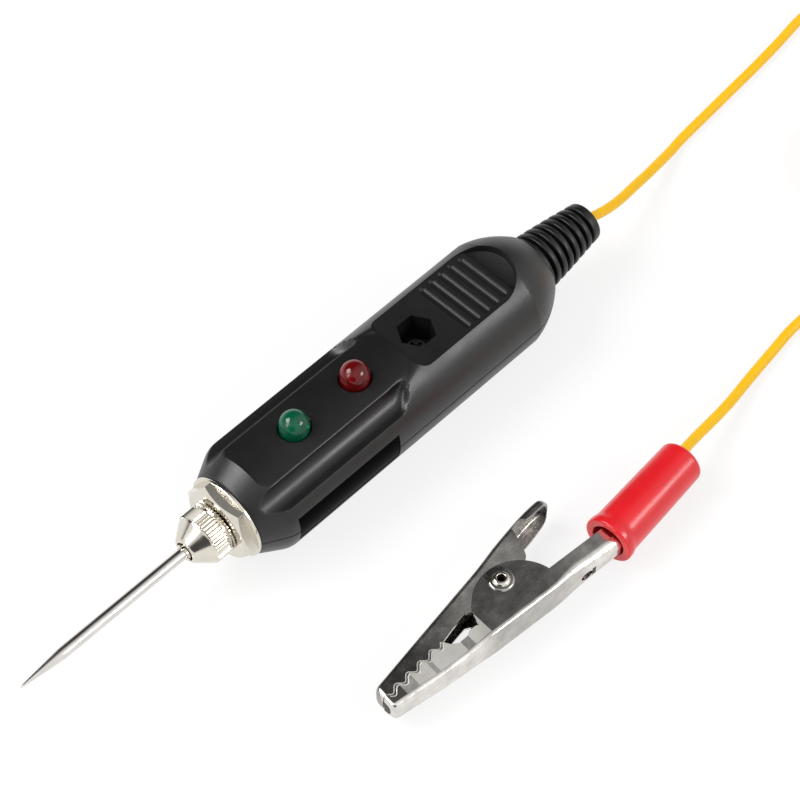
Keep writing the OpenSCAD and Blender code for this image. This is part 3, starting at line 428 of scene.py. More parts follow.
def ramp(tree, *values):
    """A value carried smoothly from one range, the first two of the last four numbers, to the other."""
    return add(tree, "MapRange", dict(enumerate(values)), interpolation_type="SMOOTHSTEP")


def object_place(tree):
    return add(tree, "TexCoord").outputs["Object"]


def moulded_grain():
    """Fine moulded grain as a height."""

    def build(tree, given, out):
        place = object_place(tree)
        fine = add(tree, "TexNoise", {"Vector": place, "Scale": given["Scale"], "Detail": 3.0})
        wide = sum_of(tree, "MULTIPLY", given["Scale"], 0.11)
        slow = add(tree, "TexNoise", {"Vector": place, "Scale": wide, "Detail": 2.0})
        total = sum_of(tree, "ADD", fine, sum_of(tree, "MULTIPLY", slow, given["Ripple"]))
        tree.links.new(total.outputs[0], out["Height"])

    return shader_group(
        "Moulded grain", [("Scale", FLOAT, 4000.0), ("Ripple", FLOAT, 1.0)], [("Height", FLOAT)], build)


def surface_tone():
    """A colour that varies a little over the surface, and a roughness that varies with it."""

    def build(tree, given, out):
        links = {"Vector": object_place(tree), "Scale": given["Scale"], "Detail": 5.0, "Roughness": 0.6}
        cloud = add(tree, "TexNoise", links)
        shift = add(tree, "MapRange", {0: cloud, 1: 0.3, 2: 0.7, 3: -1.0, 4: 1.0})
        gain = sum_of(tree, "MULTIPLY_ADD", shift, given["Colour spread"], 1.0)
        tinted = add(tree, "VectorMath", {0: given["Colour"], "Scale": gain}, operation="SCALE")
        rough = sum_of(tree, "MULTIPLY_ADD", shift, given["Roughness spread"], given["Roughness"],
                       use_clamp=True)
        tree.links.new(tinted.outputs[0], out["Colour"])
        tree.links.new(rough.outputs[0], out["Roughness"])

    inputs = [("Colour", COLOUR, GREY), ("Colour spread", FLOAT, 0.05), ("Roughness", FLOAT, 0.4),
              ("Roughness spread", FLOAT, 0.05), ("Scale", FLOAT, 120.0)]
    return shader_group("Surface tone", inputs, [("Colour", COLOUR), ("Roughness", FLOAT)], build)


def grinding_lines():
    """Fine lines along X or round it, as left by grinding or rolling, as a height."""

    def build(tree, given, out):
        stretch = add(tree, "VectorMath", {0: object_place(tree), 1: given["Stretch"]}, operation="MULTIPLY")
        lines = add(tree, "TexNoise", {"Vector": stretch, "Scale": 1.0, "Detail": 4.0, "Roughness": 0.65})
        tree.links.new(lines.outputs[0], out["Height"])

    return shader_group(
        "Grinding lines", [("Stretch", VECTOR, (300.0, 9000.0, 9000.0))], [("Height", FLOAT)], build)


def painted_shading_along_length():
    """Painted shading: a colour that brightens or darkens from one station along the part's length to
    another, in place of the reflections and shade that fall on it.
    """

    def build(tree, given, out):
        station = add(tree, "SeparateXYZ", {0: object_place(tree)})
        gain = ramp(tree, station, *(given[name] for name in ("Start", "End", "First gain", "Last gain")))
        changed = add(tree, "VectorMath", {0: given["Colour"], "Scale": gain}, operation="SCALE")
        tree.links.new(changed.outputs[0], out["Colour"])

    inputs = [("Colour", COLOUR, GREY), ("Start", FLOAT, 0.0), ("End", FLOAT, 0.01),
              ("First gain", FLOAT, 1.0), ("Last gain", FLOAT, 1.0)]
    return shader_group("Wear along the length", inputs, [("Colour", COLOUR)], build)


RESIN = dict(roughness=0.11, grain=(600, 1), bump=0.01, spread=0.12, rough_spread=0.02, scale=420,
             sockets={"Transmission Weight": 0.4, "IOR": 1.5, "Specular IOR Level": 0.32})
PRESSED = dict(colour="clip", roughness=0.17, metallic=1, grain=(2600, 1.2), bump=0.1, dents=(85, 0.00025),
               spread=0.16, rough_spread=0.09, scale=420)
# A colour is linear or named in TesterColours. A grain is the scale and ripple of moulded grain, or
# the stretch of ground lines, and dents are the scale and depth of slow hollows. Painted shading holds
# rows of start, end, first gain and last gain along X, which paint the colour darker or lighter in
# place of reflections and shade.
FINISHES = {
    "Housing black": dict(colour="housing", roughness=0.37, grain=(5200, 1.4), bump=0.18, spread=0.12,
                          rough_spread=0.06, scale=90, sockets={"Specular IOR Level": 0.5}),
    "Thumb panel black": dict(colour="housing", gain=0.7, roughness=0.45, grain=(7000, 1), bump=0.3,
                              spread=0.08, scale=120, sockets={"Specular IOR Level": 0.4}),
    "Strain relief black": dict(colour="relief", roughness=0.38, grain=(4200, 1.2), bump=0.2, spread=0.1,
                                rough_spread=0.06, scale=200, sockets={"Specular IOR Level": 0.4}),
    "Side plate black": dict(colour="plate", roughness=0.3, grain=(900, 2), bump=0.03, spread=0.1,
                             rough_spread=0.04, scale=80, sockets={"Specular IOR Level": 0.01}),
    "Nickel plate": dict(colour="nickel", roughness=0.13, metallic=1, grain=(1500, 1.6), bump=0.04,
                         spread=0.05, scale=300),
    "Ground needle steel": dict(colour="steel", roughness=0.16, metallic=1, grain=(260, 9000, 9000),
                                bump=0.05, spread=0.06, scale=260),
    # The jaws' rows of painted shading make parts of them darker or lighter along their length, in place of
    # reflections and shade.
    "Upper jaw steel": PRESSED | dict(wear=((-0.022, -0.006, 0.5, 1.2), (0.007, 0.012, 1.0, 0.7))),
    "Lower jaw steel": PRESSED | dict(wear=((-0.010, -0.004, 1.1, 0.7), (0.004, 0.016, 1.0, 1.5))),
    "Cut edge steel": dict(colour=(0.50, 0.485, 0.46), roughness=0.4, metallic=0.45, grain=(3000, 1),
                           bump=0.08, spread=0.12),
    # Painted shade for the inner walls and floor of the lower jaw's tail channel and the wall of its hole.
    "Shaded steel": dict(colour=(0.055, 0.052, 0.046), roughness=0.5, metallic=0.6, grain=(1800, 1),
                         bump=0.1, spread=0.2),
    # Painted shade: near black for the hollow rivet's bore, where only shade falls.
    "Tarnish": dict(colour=(0.012, 0.010, 0.008), roughness=0.6, metallic=0.3, grain=(2400, 1), bump=0.1,
                    spread=0.06),
    "Inner steel": dict(colour="clip", gain=0.62, roughness=0.3, metallic=1, grain=(500, 2600, 2600),
                        bump=0.5, dents=(260, 0.0004), spread=0.3, rough_spread=0.12, scale=700),
    "Spring wire": dict(colour=(0.48, 0.47, 0.45), roughness=0.28, metallic=1, grain=(2500, 2500, 400),
                        bump=0.06, spread=0.08),
    "Black oxide screw": dict(colour=(0.11, 0.11, 0.115), roughness=0.24, metallic=0.85, grain=(3000, 1),
                              bump=0.08, spread=0.15),
    "Lead insulation": dict(colour="lead", roughness=0.38, grain=(2400, 1), bump=0.02, spread=0.03,
                            rough_spread=0.03, scale=240, sockets={"Specular IOR Level": 0.35}),
    "Red sleeve": dict(colour="sleeve", roughness=0.3, grain=(900, 2), bump=0.04, spread=0.05,
                       rough_spread=0.04, scale=180, sockets={"Coat Weight": 0.2, "Coat Roughness": 0.12}),
    "green lamp": RESIN | dict(colour="green"),
    "red lamp": RESIN | dict(colour="red"),
    "Lamp cup": dict(colour=(0.75, 0.74, 0.7), roughness=0.25, metallic=1, grain=(2000, 1), bump=0.05,
                     spread=0.08),
    "Board laminate": dict(colour=(0.36, 0.2, 0.07), roughness=0.5, grain=(2600, 2600, 300), bump=0.1,
                           spread=0.15),
    "Resistor lacquer": dict(colour=(0.52, 0.36, 0.2), roughness=0.3, grain=(2600, 1), bump=0.08,
                             spread=0.08),
    "Brass strip": dict(colour=(0.78, 0.55, 0.22), roughness=0.24, metallic=1, grain=(400, 6000, 6000),
                        bump=0.06, spread=0.08),
    "Copper strands": dict(colour=(0.74, 0.38, 0.2), roughness=0.3, metallic=1, grain=(600, 5200, 5200),
                           bump=0.3, spread=0.12),
}
USUAL = dict(gain=1, metallic=0, rough_spread=0.05, scale=150, dents=(), wear=(), sockets={})
GRAIN_DEPTH = 0.0001


def new_material(name):
    made = bpy.data.materials.new(name)
    made.use_nodes = True
    return made, made.node_tree, made.node_tree.nodes["Principled BSDF"]


def material(name):
    """The material of a row of FINISHES, made when it is first asked for."""
    if name in bpy.data.materials:
        return bpy.data.materials[name]
    row = SimpleNamespace(**(USUAL | FINISHES[name]))
    named = isinstance(row.colour, str)
    colour = getattr(bpy.context.scene.tester_colours, row.colour) if named else row.colour
    made, tree, shader = new_material(name)
    tone = add(tree, "Group", node_tree=surface_tone(), links={
        "Colour": (*(row.gain * c for c in colour), 1), "Colour spread": row.spread,
        "Roughness": row.roughness, "Roughness spread": row.rough_spread, "Scale": row.scale,
    })
    shown = tone
    # Painted shading: the colour is made darker or lighter along X in place of reflections and shade.
    for start, end, first, last in row.wear:
        links = {"Colour": shown, "Start": start, "End": end, "First gain": first, "Last gain": last}
        shown = add(tree, "Group", links, node_tree=painted_shading_along_length())
    if len(row.grain) == 3:
        height = add(tree, "Group", {"Stretch": row.grain}, node_tree=grinding_lines())
    else:
        height = add(tree, "Group", {"Scale": row.grain[0], "Ripple": row.grain[1]},
                     node_tree=moulded_grain())
    relief = add(tree, "Bump", {"Strength": row.bump, "Distance": GRAIN_DEPTH, "Height": height})
    if row.dents:
        slow = add(tree, "Group", {"Scale": row.dents[0], "Ripple": 2.0}, node_tree=moulded_grain())
        hollow = add(tree, "Bump", {"Strength": 1.0, "Distance": row.dents[1], "Height": slow})
        tree.links.new(hollow.outputs[0], relief.inputs["Normal"])
    tree.links.new(shown.outputs[0], shader.inputs["Base Color"])
    tree.links.new(tone.outputs["Roughness"], shader.inputs["Roughness"])
    tree.links.new(relief.outputs[0], shader.inputs["Normal"])
    for key, value in ({"Metallic": row.metallic} | row.sockets).items():
        shader.inputs[key].default_value = value
    return made


# Name, place, width, height and watts of each soft light, and the spot that they all face
LIGHTS = (
    ("key", (-0.45, 0.5, 0.75), 0.5, 0.5, 7.5),
    ("side", (0.42, -0.76, 0.56), 0.45, 0.3, 4.2),
    ("front", (-0.74, 0.2, 0.5), 0.25, 0.5, 2.0),
)
LIT_SPOT = Vector((0.01, -0.015, 0))
WHITE = (1, 1, 1, 1)


def plain_rays(tree, *kinds):
    """One for the kinds of ray that see a plain white background."""
    path = add(tree, "LightPath")
    seen = path.outputs[f"Is {kinds[0]} Ray"]
    for kind in kinds[1:]:
        seen = sum_of(tree, "MAXIMUM", seen, path.outputs[f"Is {kind} Ray"])
    return path, seen


class TESTER_OT_stage(bpy.types.Operator):
    """Set up the camera, the floor, the world and the soft lights"""

    bl_idname = "tester.stage"
    bl_label = "Stage"

    def execute(self, context):
        scene, s = context.scene, context.scene.tester_stage
        data = bpy.data.cameras.new("camera")
        data.lens, data.sensor_width = s.lens, 36
        data.clip_start, data.clip_end = 0.01, 20
        camera = bpy.data.objects.new("camera", data)
        scene.collection.objects.link(camera)
        level = cos(s.elevation)
        look = Vector((sin(s.azimuth) * level, cos(s.azimuth) * level, -sin(s.elevation)))
        camera.location = s.camera_at
        camera.rotation_mode = "QUATERNION"
        camera.rotation_quaternion = look.to_track_quat("-Z", "Y")
        scene.camera = camera
        scene.view_settings.view_transform = "Standard"
        self.floor(s.floor_size)
        self.world(scene)
        for name, at, width, height, watts in LIGHTS:
            data = bpy.data.lights.new(name, "AREA")
            data.shape, data.size, data.size_y = "RECTANGLE", width, height
            data.energy = watts
            lamp = bpy.data.objects.new(name, data)
            scene.collection.objects.link(lamp)
            lamp.location = at
            lamp.rotation_euler = (LIT_SPOT - Vector(at)).to_track_quat("-Z", "Y").to_euler()
        return {"FINISHED"}

    def floor(self, side):
        bm = bmesh.new()
        bmesh.ops.create_grid(bm, x_segments=4, y_segments=4, size=side / 2)
        floor = as_object(bm, "floor")
        pale, tree, shader = new_material("Pale floor")
        shader.inputs["Base Color"].default_value = (0.9, 0.9, 0.9, 1)
        shader.inputs["Roughness"].default_value = 0.9
        shader.inputs["Specular IOR Level"].default_value = 0.0
        glow = add(tree, "Emission", {"Color": WHITE, "Strength": 1.0})
        share = sum_of(tree, "MULTIPLY", plain_rays(tree, "Camera", "Glossy", "Transmission")[1], 0.8)
        mix = add(tree, "MixShader", {0: share, 1: shader, 2: glow})
        tree.links.new(mix.outputs[0], tree.nodes["Material Output"].inputs["Surface"])
        floor.data.materials.append(pale)

    def world(self, scene):
        """Even light, with a white background and, in reflections, a studio with bright and dark walls."""
        scene.world = bpy.data.worlds.new("Studio")
        scene.world.use_nodes = True
        tree = scene.world.node_tree
        even = tree.nodes["Background"]
        even.inputs["Color"].default_value = (0.90, 0.89, 0.87, 1)
        even.inputs["Strength"].default_value = 0.55
        way = add(tree, "TexCoord").outputs["Generated"]
        parts = add(tree, "SeparateXYZ", {0: way}).outputs

        def spot(towards, *limits):
            """A round spot in a direction, as the share of the way from its rim to its middle."""
            near = add(tree, "VectorMath", {0: way, 1: towards}, operation="DOT_PRODUCT")
            return ramp(tree, near.outputs["Value"], *limits)

        front_wall = ramp(tree, parts["Y"], 0.5, -0.35, 0.05, 1.0)
        horizon = ramp(tree, parts["Z"], 0.05, 0.35, 0.9, 0.0)
        bright_card = spot((-0.76, 0.4, 0.51), 0.86, 0.93, 0.0, 1.0)
        dark_card = spot((-0.83, -0.48, 0.28), 0.89, 0.95, 1.0, 0.07)
        walls = sum_of(tree, "MAXIMUM", sum_of(tree, "MAXIMUM", front_wall, horizon), bright_card)
        walls = sum_of(tree, "MULTIPLY", walls, dark_card)
        studio = add(tree, "Background", {"Color": WHITE, "Strength": walls})
        white = add(tree, "Background", {"Color": WHITE, "Strength": 1.0})
        path, plain = plain_rays(tree, "Camera", "Transmission")
        lit = add(tree, "MixShader", {0: path.outputs["Is Glossy Ray"], 1: even, 2: studio})
        final = add(tree, "MixShader", {0: plain, 1: lit, 2: white})
        tree.links.new(final.outputs[0], tree.nodes["World Output"].inputs["Surface"])


# The lead's routes, from the end of the strain relief
ROUTE_TO_COIL = [
    (-3, 0, 9.2), (0, 0, 9.2), (3, 0, 8.2), (6.2, 0.1, 7.1), (10.2, 0.6, 5.8), (14.7, 1.4, 4.6),
    (19.3, 2.2, 3.4), (23.9, 3.1, 2.2), (28, 3.9, 1.3), (32, 4.6, 0.9), (39.4, 5.2, 0.9), (47, 5.8, 0.9),
    (54.7, 6.4, 0.9), (62.4, 7.2, 0.9), (70, 8.1, 0.9), (75.5, 7.4, 0.9), (78.6, 3.5, 0.9),
    (78.9, -2.5, 0.9), (76.3, -9.5, 0.9), (71.5, -16, 0.9), (67, -21.8, 0.9), (64.7, -27, 0.9),
]
ROUTE_TO_CLIP = [
    (52, -39.7, 0.9), (43, -39.8, 0.9), (33, -38.4, 0.9), (23, -37, 0.9), (13.3, -36.8, 0.9),
    (7.2, -37.4, 0.9), (-0.9, -38.5, 1.3), (-7.7, -39.7, 2.2), (-13.2, -40.5, 3.4), (-18.7, -41.2, 4.7),
]
COIL_AT = Vector((52, -27, 0))
# Radius and height of each turn of the stored lead, in turn diameters from the inner bottom one
COIL_TURNS = [(2, 0), (1, 0), (0, 0), (0, 1), (0, 2), (1, 2), (1, 1), (2, 1), (2, 2), (3, 2), (3, 1), (3, 0)]
COIL_INNER = 7.3
# Place of the sleeve's own frame, with X along its axis from the mouth
SLEEVE_AT = CLIP_AT @ shifted(19.0, -4.85, 0) @ turned(radians(7.7), "Z")
# Where the lead leaves the sleeve's end, off its axis
LEAVES_AT = (0.4, 1.7)


def coil_points(diameter, turns):
    """The stored lead: turns that lie beside and on each other, wound clockwise."""
    made = []
    steps = 24
    spots = [(COIL_INNER + a * diameter, (b + 0.5) * diameter) for a, b in COIL_TURNS]
    for i in range(turns * steps + steps // 4 + 1):
        k, step = divmod(i, steps)
        before = spots[k - 1] if k else (COIL_INNER + 3 * diameter, 0.5 * diameter)
        ease = min(1.0, step / steps / 0.16)
        ease = ease * ease * (3 - 2 * ease)
        radius, height = (a + (b - a) * ease for a, b in zip(before, spots[k]))
        angle = -TAU * i / steps
        made.append(COIL_AT + Vector((radius * cos(angle), radius * sin(angle), height)))
    return made


def lead_points(s):
    end = s.sleeve_length
    inside = ((end, *LEAVES_AT), (end - 3, 0.32, 1.19), (11, 0.2, 0.1), (8, 0, 0), (6, 0, 0))
    to_clip = ROUTE_TO_CLIP + [tuple(SLEEVE_AT @ Vector(p) - RELIEF_END) for p in inside]
    points = curve_through(ROUTE_TO_COIL, 4)[:-1] + coil_points(s.diameter, s.turns)
    points += curve_through(to_clip, 4)[1:]
    return [Vector((p[0], p[1], max(p[2], s.diameter / 2))) + RELIEF_END for p in points]


class TESTER_OT_lead(bpy.types.Operator):
    """Lay the yellow lead from the strain relief through its stored coil to the clip"""

    bl_idname = "tester.lead"
    bl_label = "Lead"

    def execute(self, context):
        s = sizes("lead")
        points = lead_points(s)
        data = bpy.data.curves.new("lead", "CURVE")
        data.dimensions = "3D"
        data.bevel_depth = s.diameter / 2 * MM
        data.bevel_resolution = 5
        data.use_fill_caps = True
        spline = data.splines.new("POLY")
        spline.points.add(len(points) - 1)
        for point, p in zip(spline.points, points):
            point.co = (*(p * MM), 1)
        spline.use_smooth = True
        lead = bpy.data.objects.new("lead", data)
        context.scene.collection.objects.link(lead)
        data.materials.append(material("Lead insulation"))
        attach(lead, "tester")
        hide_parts("lead_to_coil", "lead_coil", "lead_to_clip")
        return {"FINISHED"}


def declare_lead():
    """Works out the lead's sizes and points once the pieces on it are made; nothing is done with them."""
    s = sizes("lead")
    points = lead_points(s)


class TESTER_OT_strain_relief(bpy.types.Operator):
    """Build the ribbed strain relief behind the housing"""

    bl_idname = "tester.strain_relief"
    bl_label = "Strain relief"

    def execute(self, context):
        start, s = sizes("housing").length, sizes("lead")
        pitch = s.relief_length / s.relief_rings
        ring = 0.6 * pitch
        hole = s.diameter / 2 + 0.08

        def taper(share):
            return 5.4 - 1.8 * share ** 1.25

        profile = [(start - 3.4, hole), (start - 3.4, 4.9), (start - 2, 4.9), (start - 2, 4.0), (start, 4.0)]
        radii = {}

        def add_round(radius, *points):
            for point in points:
                radii[len(profile)] = radius
                profile.append(point)

        for i in range(s.relief_rings):
            x, middle = start + i * pitch, taper((i + 0.5) / s.relief_rings)
            add_round(0.35, (x, taper(i / s.relief_rings)), (x + ring, middle))
            if i < s.relief_rings - 1:
                add_round(0.15, (x + ring, middle - 1.25), (x + pitch, middle - 1.25))
        end = start + s.relief_length
        add_round(0.4, (end, taper(1)))
        profile += [(end, hole + 0.25), (end - 0.4, hole)]
        finish_piece(spun(rounded(profile, radii), 72, closed=True), "strain_relief_boot",
                     "Strain relief black", ["strain_relief"], smooth=50)
        return {"FINISHED"}


class TESTER_OT_sleeve(bpy.types.Operator):
    """Build the red sleeve with its lip"""

    bl_idname = "tester.sleeve"
    bl_label = "Sleeve"

    def execute(self, context):
        s = sizes("lead")
        length, r, wall, end_r = s.sleeve_length, s.sleeve_radius, 0.8, 3.85
        profile = [
            (0, 2.95), (0, 4.1), (0.12, 4.4), (1.15, 4.4), (2.1, r), (length * 0.5, r - 0.1),
            (length, end_r), (length, 0), (length - wall, 0), (length - wall, end_r - wall), (3.2, r - wall),
        ]
        radii = {0: 0.25, 1: 0.3, 2: 0.25, 3: 0.4, 4: 0.7, 6: 0.9, 9: 0.5}
        sleeve = as_object(spun(rounded(profile, radii, 5), 80, closed=True))
        hole = drum(s.diameter / 2 + 0.2, -4, 4, segments=32)
        cut(sleeve, moved(hole, shifted(length, *LEAVES_AT) @ turned(QUARTER, "Y")))
        finish_piece(sleeve, "red_sleeve", "Red sleeve", ["clip_sleeve"], matrix=SLEEVE_AT,
                     smooth=60)
        return {"FINISHED"}


# Where the face with the lamps starts and narrows, and half its width between the flutes
FLAT_START = 3.6
FLAT_END = 33.6
FLAT_HALF = 5.3
# How far a flute's end leans, and how square it is
FLUTE_SLANT = 0.42
END_POWER = 3.5
# Inside this radius the ends of the housing stay turned
PLAIN_RADIUS = 5.2
# The parting line's groove, as depth and half width, and the radii of the holes in the axis
PARTING = (0.17, 0.13)
STEM_HOLE = 3.05
RELIEF_HOLE = 4.05


def shoulder(s, share):
    return s.tail_radius + (s.radius - s.tail_radius) * (1 - 0.35 * share - 0.65 * share ** 2)


def dense(points, step):
    """The same row of points with more points between them, no further than step apart."""
    made = []
    for a, b in zip(points, points[1:]):
        a, b = Vector(a), Vector(b)
        n = max(1, ceil((b - a).length / step))
        made += [tuple(a.lerp(b, k / n)) for k in range(n)]
    return made + [points[-1]]


def smooth_max(a, b, k):
    h = np.clip(0.5 + 0.5 * (a - b) / k, 0, 1)
    return b + (a - b) * h + k * h * (1 - h)


def outside(x, y, z, full, s, draw_in):
    """How far a point lies outside the moulded form, with its edges softened.

    full is the distance to the turned form, and draw_in is how far the lining lies inside.
    """
    k = s.softness
    out = full
    for up in (-1, 1):
        for side in (-1, 1):
            cy, cz = (sign * s.flute_offset * sqrt(0.5) for sign in (side, up))
            past = np.maximum(0, x - s.flute_length + FLUTE_SLANT * (side * y - up * z))
            gap = (np.hypot(y - cy, z - cz) ** END_POWER + past ** END_POWER) ** (1 / END_POWER)
            out = smooth_max(out, s.flute_radius + draw_in - gap, k)
    out = smooth_max(out, -z - s.base_flat + draw_in, k)
    if draw_in:
        return smooth_max(out, z - s.top_flat + draw_in, k)
    half = s.panel_width / 2
    slope = (half / 2) / (s.panel_start + 1 - FLAT_END)
    beside = (np.abs(y) - half + (x - FLAT_END) * slope) / hypot(1, slope)
    beside = np.where(x > FLAT_END, np.maximum(0, beside), 0)
    level = s.top_flat + s.crown * (1 - (y / FLAT_HALF) ** 2) + 0.4 * beside
    past = np.maximum(FLAT_START - x, x - s.panel_start - 1.4)
    return smooth_max(out, np.minimum(z - level, -past), np.interp(x, [30, 34], [k, 0.55]))


def press_form(bm, s, draw_in):
    """Moves the vertices of a turned form inwards, along their rays, to the moulded form."""
    verts = [v for v in bm.verts if hypot(v.co.y, v.co.z) > PLAIN_RADIUS and 0.01 < v.co.x < s.length - 0.01]
    x, y, z = np.array([v.co for v in verts]).T
    full = np.hypot(y, z)
    ry, rz = y / full, z / full
    low, high = np.full_like(full, 4.6), full + 0.4
    for _ in range(26):
        r = (low + high) / 2
        inside = outside(x, r * ry, r * rz, r - full, s, draw_in) < 0
        low, high = np.where(inside, r, low), np.where(inside, high, r)
    r = (low + high) / 2
    if draw_in == 0:
        r -= PARTING[0] * np.exp(-((r * rz) / PARTING[1]) ** 2)
    for v, radius, a, b in zip(verts, r, ry, rz):
        v.co.y, v.co.z = radius * a, radius * b


def turned_half(s, up):
    """The outside and the lining of one half, turned, before they are pressed to the moulded form."""
    front_wall, rear_wall = 2.4, 2.0
    tail, wall_r = s.length - s.tail_length, s.radius - s.wall

    def behind(drop, steps):
        return [(tail + s.tail_length * k / 12, shoulder(s, k / 12) - drop) for k in steps]

    outer = [(0, STEM_HOLE), (0, s.nose_radius), (s.nose_length, s.radius), (tail, s.radius)]
    outer += behind(0, range(1, 13))
    radii = {1: 0.45, 2: 1.2, len(outer) - 1: 0.4}
    outer = rounded(outer + [(s.length, RELIEF_HOLE)], radii, 5)
    inner = [(s.length - rear_wall, RELIEF_HOLE)] + behind(s.wall, range(9, 0, -1))
    front_r = s.nose_radius + (s.radius - s.nose_radius) / s.nose_length * front_wall - s.wall
    inner += [(tail, wall_r), (s.nose_length, wall_r), (front_wall, front_r), (front_wall, STEM_HOLE)]
    return [moved(spun(dense(row, step), 180, angle=-pi * up), turned(QUARTER, "X"))
            for row, step in ((outer, 0.28), (inner, 1.2))]


class TESTER_OT_housing(bpy.types.Operator):
    """Build the two fluted shells of the housing and the ribbed thumb panel"""

    bl_idname = "tester.housing"
    bl_label = "Housing"

    def execute(self, context):
        s, lamps = sizes("housing"), sizes("lamps")
        upper, lower = self.shell(s, 1), self.shell(s, -1)
        well_r = s.well_flats / sqrt(3)
        panel_z = s.top_flat - s.panel_depth
        rim_z = s.top_flat + 0.76 * s.crown - 0.16
        combine(upper, "UNION", drum(well_r + 1, 0.4, panel_z - 0.8, s.screw_at))
        cut(upper, prism(self.panel_outline(s, 0.05), panel_z - 0.45, 14),
            drum(well_r, 2.2, 12, s.screw_at, 6), drum(1.2, -1, 12, s.screw_at, 32))
        cut(upper, *(drum(lamps.radius + 0.12, 4, rim_z, x, 64, 0.16)
                     for x in (lamps.green_at, lamps.red_at)))
        for half, name, node in ((upper, "upper_half", "upper_shell"), (lower, "lower_half", "lower_shell")):
            cut(half, self.plate_recess())
            finish_piece(half, name, "Housing black", [node], smooth=40)
        panel = self.panel(s, panel_z, well_r)
        finish_piece(panel, "thumb_panel", "Thumb panel black", smooth=35)
        return {"FINISHED"}

    def plate_recess(self):
        """What the shells leave free for the plate on their side."""
        ring = as_object(spun([(5.9, 9.9), (28.4, 9.9), (28.4, 13), (5.9, 13)], 180, True))
        combine(ring, "INTERSECT", prism([(5, -14), (29, -14), (29, -5), (5, -5)], -2.9, 2.9))
        return ring

    def shell(self, s, up):
        """One moulded shell, closed along the parting line and at the holes in the axis."""
        skin, lining = turned_half(s, up)
        press_form(skin, s, 0.0)
        press_form(lining, s, s.wall)
        whole = joined(skin, lining)
        bmesh.ops.remove_doubles(whole, verts=whole.verts, dist=1e-4)
        for v in whole.verts:
            if v.is_boundary and abs(v.co.z) < 0.05:
                v.co.z = 0.0
        rims = [e for e in whole.edges if e.is_boundary and abs(e.verts[0].co.x - e.verts[1].co.x) < 1e-6
                and all(hypot(v.co.y, v.co.z) < 4.2 for v in e.verts)]
        for x_low, x_high in ((-1, 3.0), (60, 80)):
            hole = [e for e in rims if all(x_low < v.co.x < x_high for v in e.verts)]
            bmesh.ops.bridge_loops(whole, edges=hole)
        flat = [e for e in whole.edges if e.is_boundary]
        bmesh.ops.triangle_fill(whole, use_beauty=True, use_dissolve=False, edges=flat, normal=(0, 0, 1))
        bmesh.ops.recalc_face_normals(whole, faces=whole.faces)
        return as_object(whole)

    def panel_outline(self, s, gap):
        """Outline of the thumb panel, round towards the strain relief."""
        half = s.panel_width / 2 + gap
        start, middle = s.panel_start - gap, s.panel_start + s.panel_length - s.panel_width / 2
        corner = 2.2
        turns = [QUARTER * k / 8 for k in range(9)]
        front = [(start + corner - corner * sin(a), half - corner + corner * cos(a)) for a in turns]
        rear = [(middle + half * sin(pi * k / 40), -half * cos(pi * k / 40)) for k in range(41)]
        return front + [(x, -y) for x, y in reversed(front)] + rear

    def panel(self, s, top, well_r):
        """The sunk thumb panel: ribs between round-ended grooves, and a rear end that rises a little."""
        low, far = top - 0.44, s.panel_start + s.panel_length + 1
        behind = s.rib_start + s.rib_count * s.rib_pitch
        rise = [(behind + 0.8 + (far - behind - 0.8) * k / 12, top - 0.2 + 0.85 * (k / 12) ** 1.5)
                for k in range(13)]
        side = [(s.panel_start - 1, top), (s.panel_start - 1, low), (far, low), *reversed(rise),
                (behind + 0.3, top - 0.2), (behind, top)]
        half = s.panel_width / 2
        plate = as_object(prism(side, -half - 1, half + 1, "Y"))
        width, middle = s.rib_pitch - s.rib_width, s.panel_start + s.panel_length - half
        r = (width ** 2 / 4 + s.groove_depth ** 2) / (2 * s.groove_depth)
        turns = [QUARTER * i / 8 for i in range(9)]
        for k in range(s.rib_count):
            x = s.rib_start + k * s.rib_pitch + width / 2
            reach = sqrt(half ** 2 - max(0, x + width / 2 - middle) ** 2) - 0.5 - width / 2
            tool = spun([(-reach - r * cos(a), r * sin(a)) for a in turns]
                        + [(reach + r * sin(a), r * cos(a)) for a in turns], 40)
            cut(plate, moved(tool, shifted(x, 0, top + r - s.groove_depth) @ turned(QUARTER, "Z")))
        soften(plate, 0.2, 3, 40)
        combine(plate, "INTERSECT", prism(self.panel_outline(s, -0.02), low, top + 3))
        cut(plate, drum(well_r, 2, 12, s.screw_at, 6))
        soften(plate, 0.06, 2, 70)
        return plate


